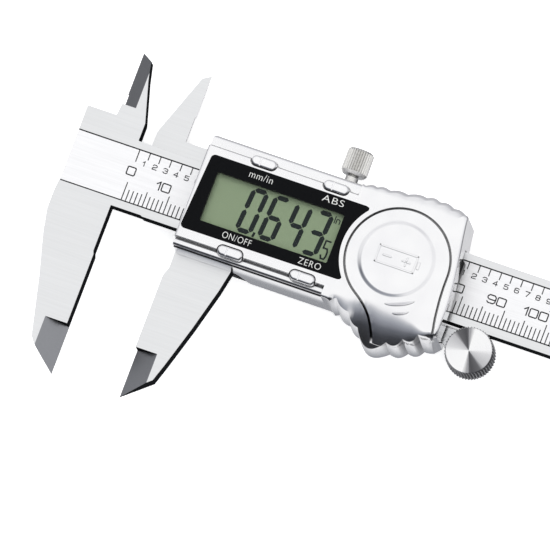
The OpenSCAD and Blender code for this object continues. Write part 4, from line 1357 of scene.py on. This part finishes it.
# %% Lathe-faced steel
# Free-cutting steel, faced in a lathe and knurled: painted bright and dark wedges of reflection on the face,
# and painted shade in the rim's grooves below light crests. The tool's rings are about 0.05 mm apart and are
# drawn 0.12 mm apart, so that they show
RING_PITCH = 0.12
PAINTED_WEDGE_START = math.radians(110)
faced_steel, tree = empty_material("lathe_faced_steel")
tangent = add(tree, "ShaderNodeTangent", direction_type="RADIAL", axis="Z")
place = add(tree, "ShaderNodeTexCoord")
offset = add(tree, "ShaderNodeVectorMath", {
    0: place.outputs["Object"], 1: (ON_SLIDER + roller_centre) * MM}, operation="SUBTRACT")
flatten = add(tree, "ShaderNodeVectorMath", {0: offset.outputs["Vector"], 1: (1, 1, 0)}, operation="MULTIPLY")
radius_node = add(tree, "ShaderNodeVectorMath", {0: flatten.outputs["Vector"]}, operation="LENGTH")
turns = add(tree, "ShaderNodeMath", {0: radius_node.outputs["Value"], 1: 1 / (RING_PITCH * MM)},
            operation="MULTIPLY")
rings_noise = add(tree, "ShaderNodeTexNoise", {"W": turns.outputs["Value"], "Scale": 1.0, "Detail": 2.0},
                  noise_dimensions="1D")
around = add(tree, "ShaderNodeSeparateXYZ", {"Vector": flatten.outputs["Vector"]})
angle = add(tree, "ShaderNodeMath", {0: around.outputs["Y"], 1: around.outputs["X"]}, operation="ARCTAN2")
# Painted reflection: the wedges are painted into the colour by angle, and each half turn repeats them
half_turns = add(tree, "ShaderNodeMath", {
    0: angle.outputs["Value"], 1: 1 / math.pi, 2: 2 - PAINTED_WEDGE_START / math.pi}, operation="MULTIPLY_ADD")
sector = add(tree, "ShaderNodeMath", {0: half_turns.outputs["Value"]}, operation="FRACT")
painted_wedges = add(tree, "ShaderNodeValToRGB", {"Fac": sector.outputs["Value"]})
set_ramp(painted_wedges, [(0.0, "#6C6C6F"), (0.04, "#545457"), (0.17, "#6A6A6D"), (0.23, "#C2C2C5"), (0.42, "#DEDEE0"),
                  (0.5, "#FBFBFC"), (0.90, "#FEFEFE"), (0.97, "#A4A4A7")])
streaks = add(tree, "ShaderNodeMapRange", {"Value": rings_noise.outputs["Fac"], "To Min": 0.9, "To Max": 1.04})
tint = add(tree, "ShaderNodeVectorMath", {0: painted_wedges.outputs["Color"], "Scale": streaks.outputs["Result"]},
           operation="SCALE")
ring_bump = add(tree, "ShaderNodeBump", {
    "Height": rings_noise.outputs["Fac"], "Strength": 0.4, "Distance": 0.01 * MM})
# Painted shade: ambient occlusion darkens the knurl's grooves, and the whole rim is painted darker than the
# face
crevice = add(tree, "ShaderNodeAmbientOcclusion", {"Distance": 0.5 * MM}, samples=8)
ridges = add(tree, "ShaderNodeValToRGB", {"Fac": crevice.outputs["AO"]})
set_ramp(ridges, [(0.6, "#020202"), (0.84, "#161617"), (1.0, "#CACACC")])
geometry = add(tree, "ShaderNodeNewGeometry")
facing = add(tree, "ShaderNodeSeparateXYZ", {"Vector": geometry.outputs["Normal"]})
faced_part = add(tree, "ShaderNodeMapRange", {"Value": facing.outputs["Z"], "From Min": 0.5, "From Max": 0.8})
turned_or_rim = add(tree, "ShaderNodeMix", {
    "Factor": faced_part.outputs["Result"], "A": ridges.outputs["Color"], "B": tint.outputs["Vector"]},
    data_type="RGBA")
faced = add(tree, "ShaderNodeBsdfPrincipled", {
    "Base Color": turned_or_rim.outputs["Result"], "Metallic": 1.0, "Roughness": 0.26, "Anisotropic": 0.7,
    "Tangent": tangent.outputs["Tangent"], "Normal": ring_bump.outputs["Normal"]})
add(tree, "ShaderNodeOutputMaterial", {"Surface": faced.outputs[0]})

print("rings", RING_PITCH, "mm apart")

# %% Roller wheel
RIM_WIDTH, RIM_TEETH = 6.0, 50
rim_top = roller_high.z / MM
rim_foot = rim_top - RIM_WIDTH
axle_foot = roller_low.z / MM
# Radius, depth of the teeth and height, from the axle's foot with its clip groove to the middle of the face
ROLLER_PROFILE = [
    (1.5, 0, axle_foot), (1.5, 0, axle_foot + 0.4), (1.1, 0, axle_foot + 0.4), (1.1, 0, axle_foot + 1.0),
    (1.5, 0, axle_foot + 1.0), (1.5, 0, rim_foot), (ROLLER_R - 0.5, 0, rim_foot),
    (ROLLER_R - 0.25, 0.1, rim_foot + 0.3), (ROLLER_R - 0.01, 0.34, rim_foot + 0.6),
    (ROLLER_R - 0.01, 0.34, rim_top - 0.6), (ROLLER_R - 0.22, 0.12, rim_top - 0.3),
    (ROLLER_R - 0.42, 0, rim_top - 0.04), (ROLLER_R - 0.5, 0, rim_top), (0.5, 0, rim_top - 0.02)]
rings = []
for radius, depth, z in ROLLER_PROFILE:
    ring = knurled_ring(radius, depth, RIM_TEETH)
    rings.append([Vector((roller_centre.x + p.x, roller_centre.y + p.y, z)) for p in ring])
settle(solid(loft(rings)), "thumb_roller", ON_SLIDER, faced_steel, "roller", ["roller_wheel"],
       sharp=24.0)

# %% [markdown]
# ## Wiper at the exit
# Where the beam leaves the housing a felt wiper keeps chips and coolant out. Its outer face is cut at an
# angle, so that it follows the slanting end wall.

# %% Right-hand wiper
felt_low, felt_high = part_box("wiper_right")
felt_x = felt_low.x / MM - ON_SLIDER.x
felt_outline = rounded([(felt_x, -0.2), (felt_x + 1.1, -0.2), (felt_x + 1.0, 13.2), (felt_x, 14.3)], 0.12, 3)
settle(solid(plate(felt_outline, felt_low.z / MM, felt_high.z / MM, 0.1)), "wiper_felt_right", ON_SLIDER, felt,
       "slider", ["wiper_right"])

# %% [markdown]
# ## Sizes
# The visual model is meant to stay inside the CAD model's box, and the script prints how far it reaches past
# that box on each side.

# %% Print how far the model reaches past the CAD box
low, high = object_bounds()
print("grows below by (mm)", [round(v / MM, 3) for v in CAD_LOW - low])
print("grows above by (mm)", [round(v / MM, 3) for v in high - CAD_HIGH])
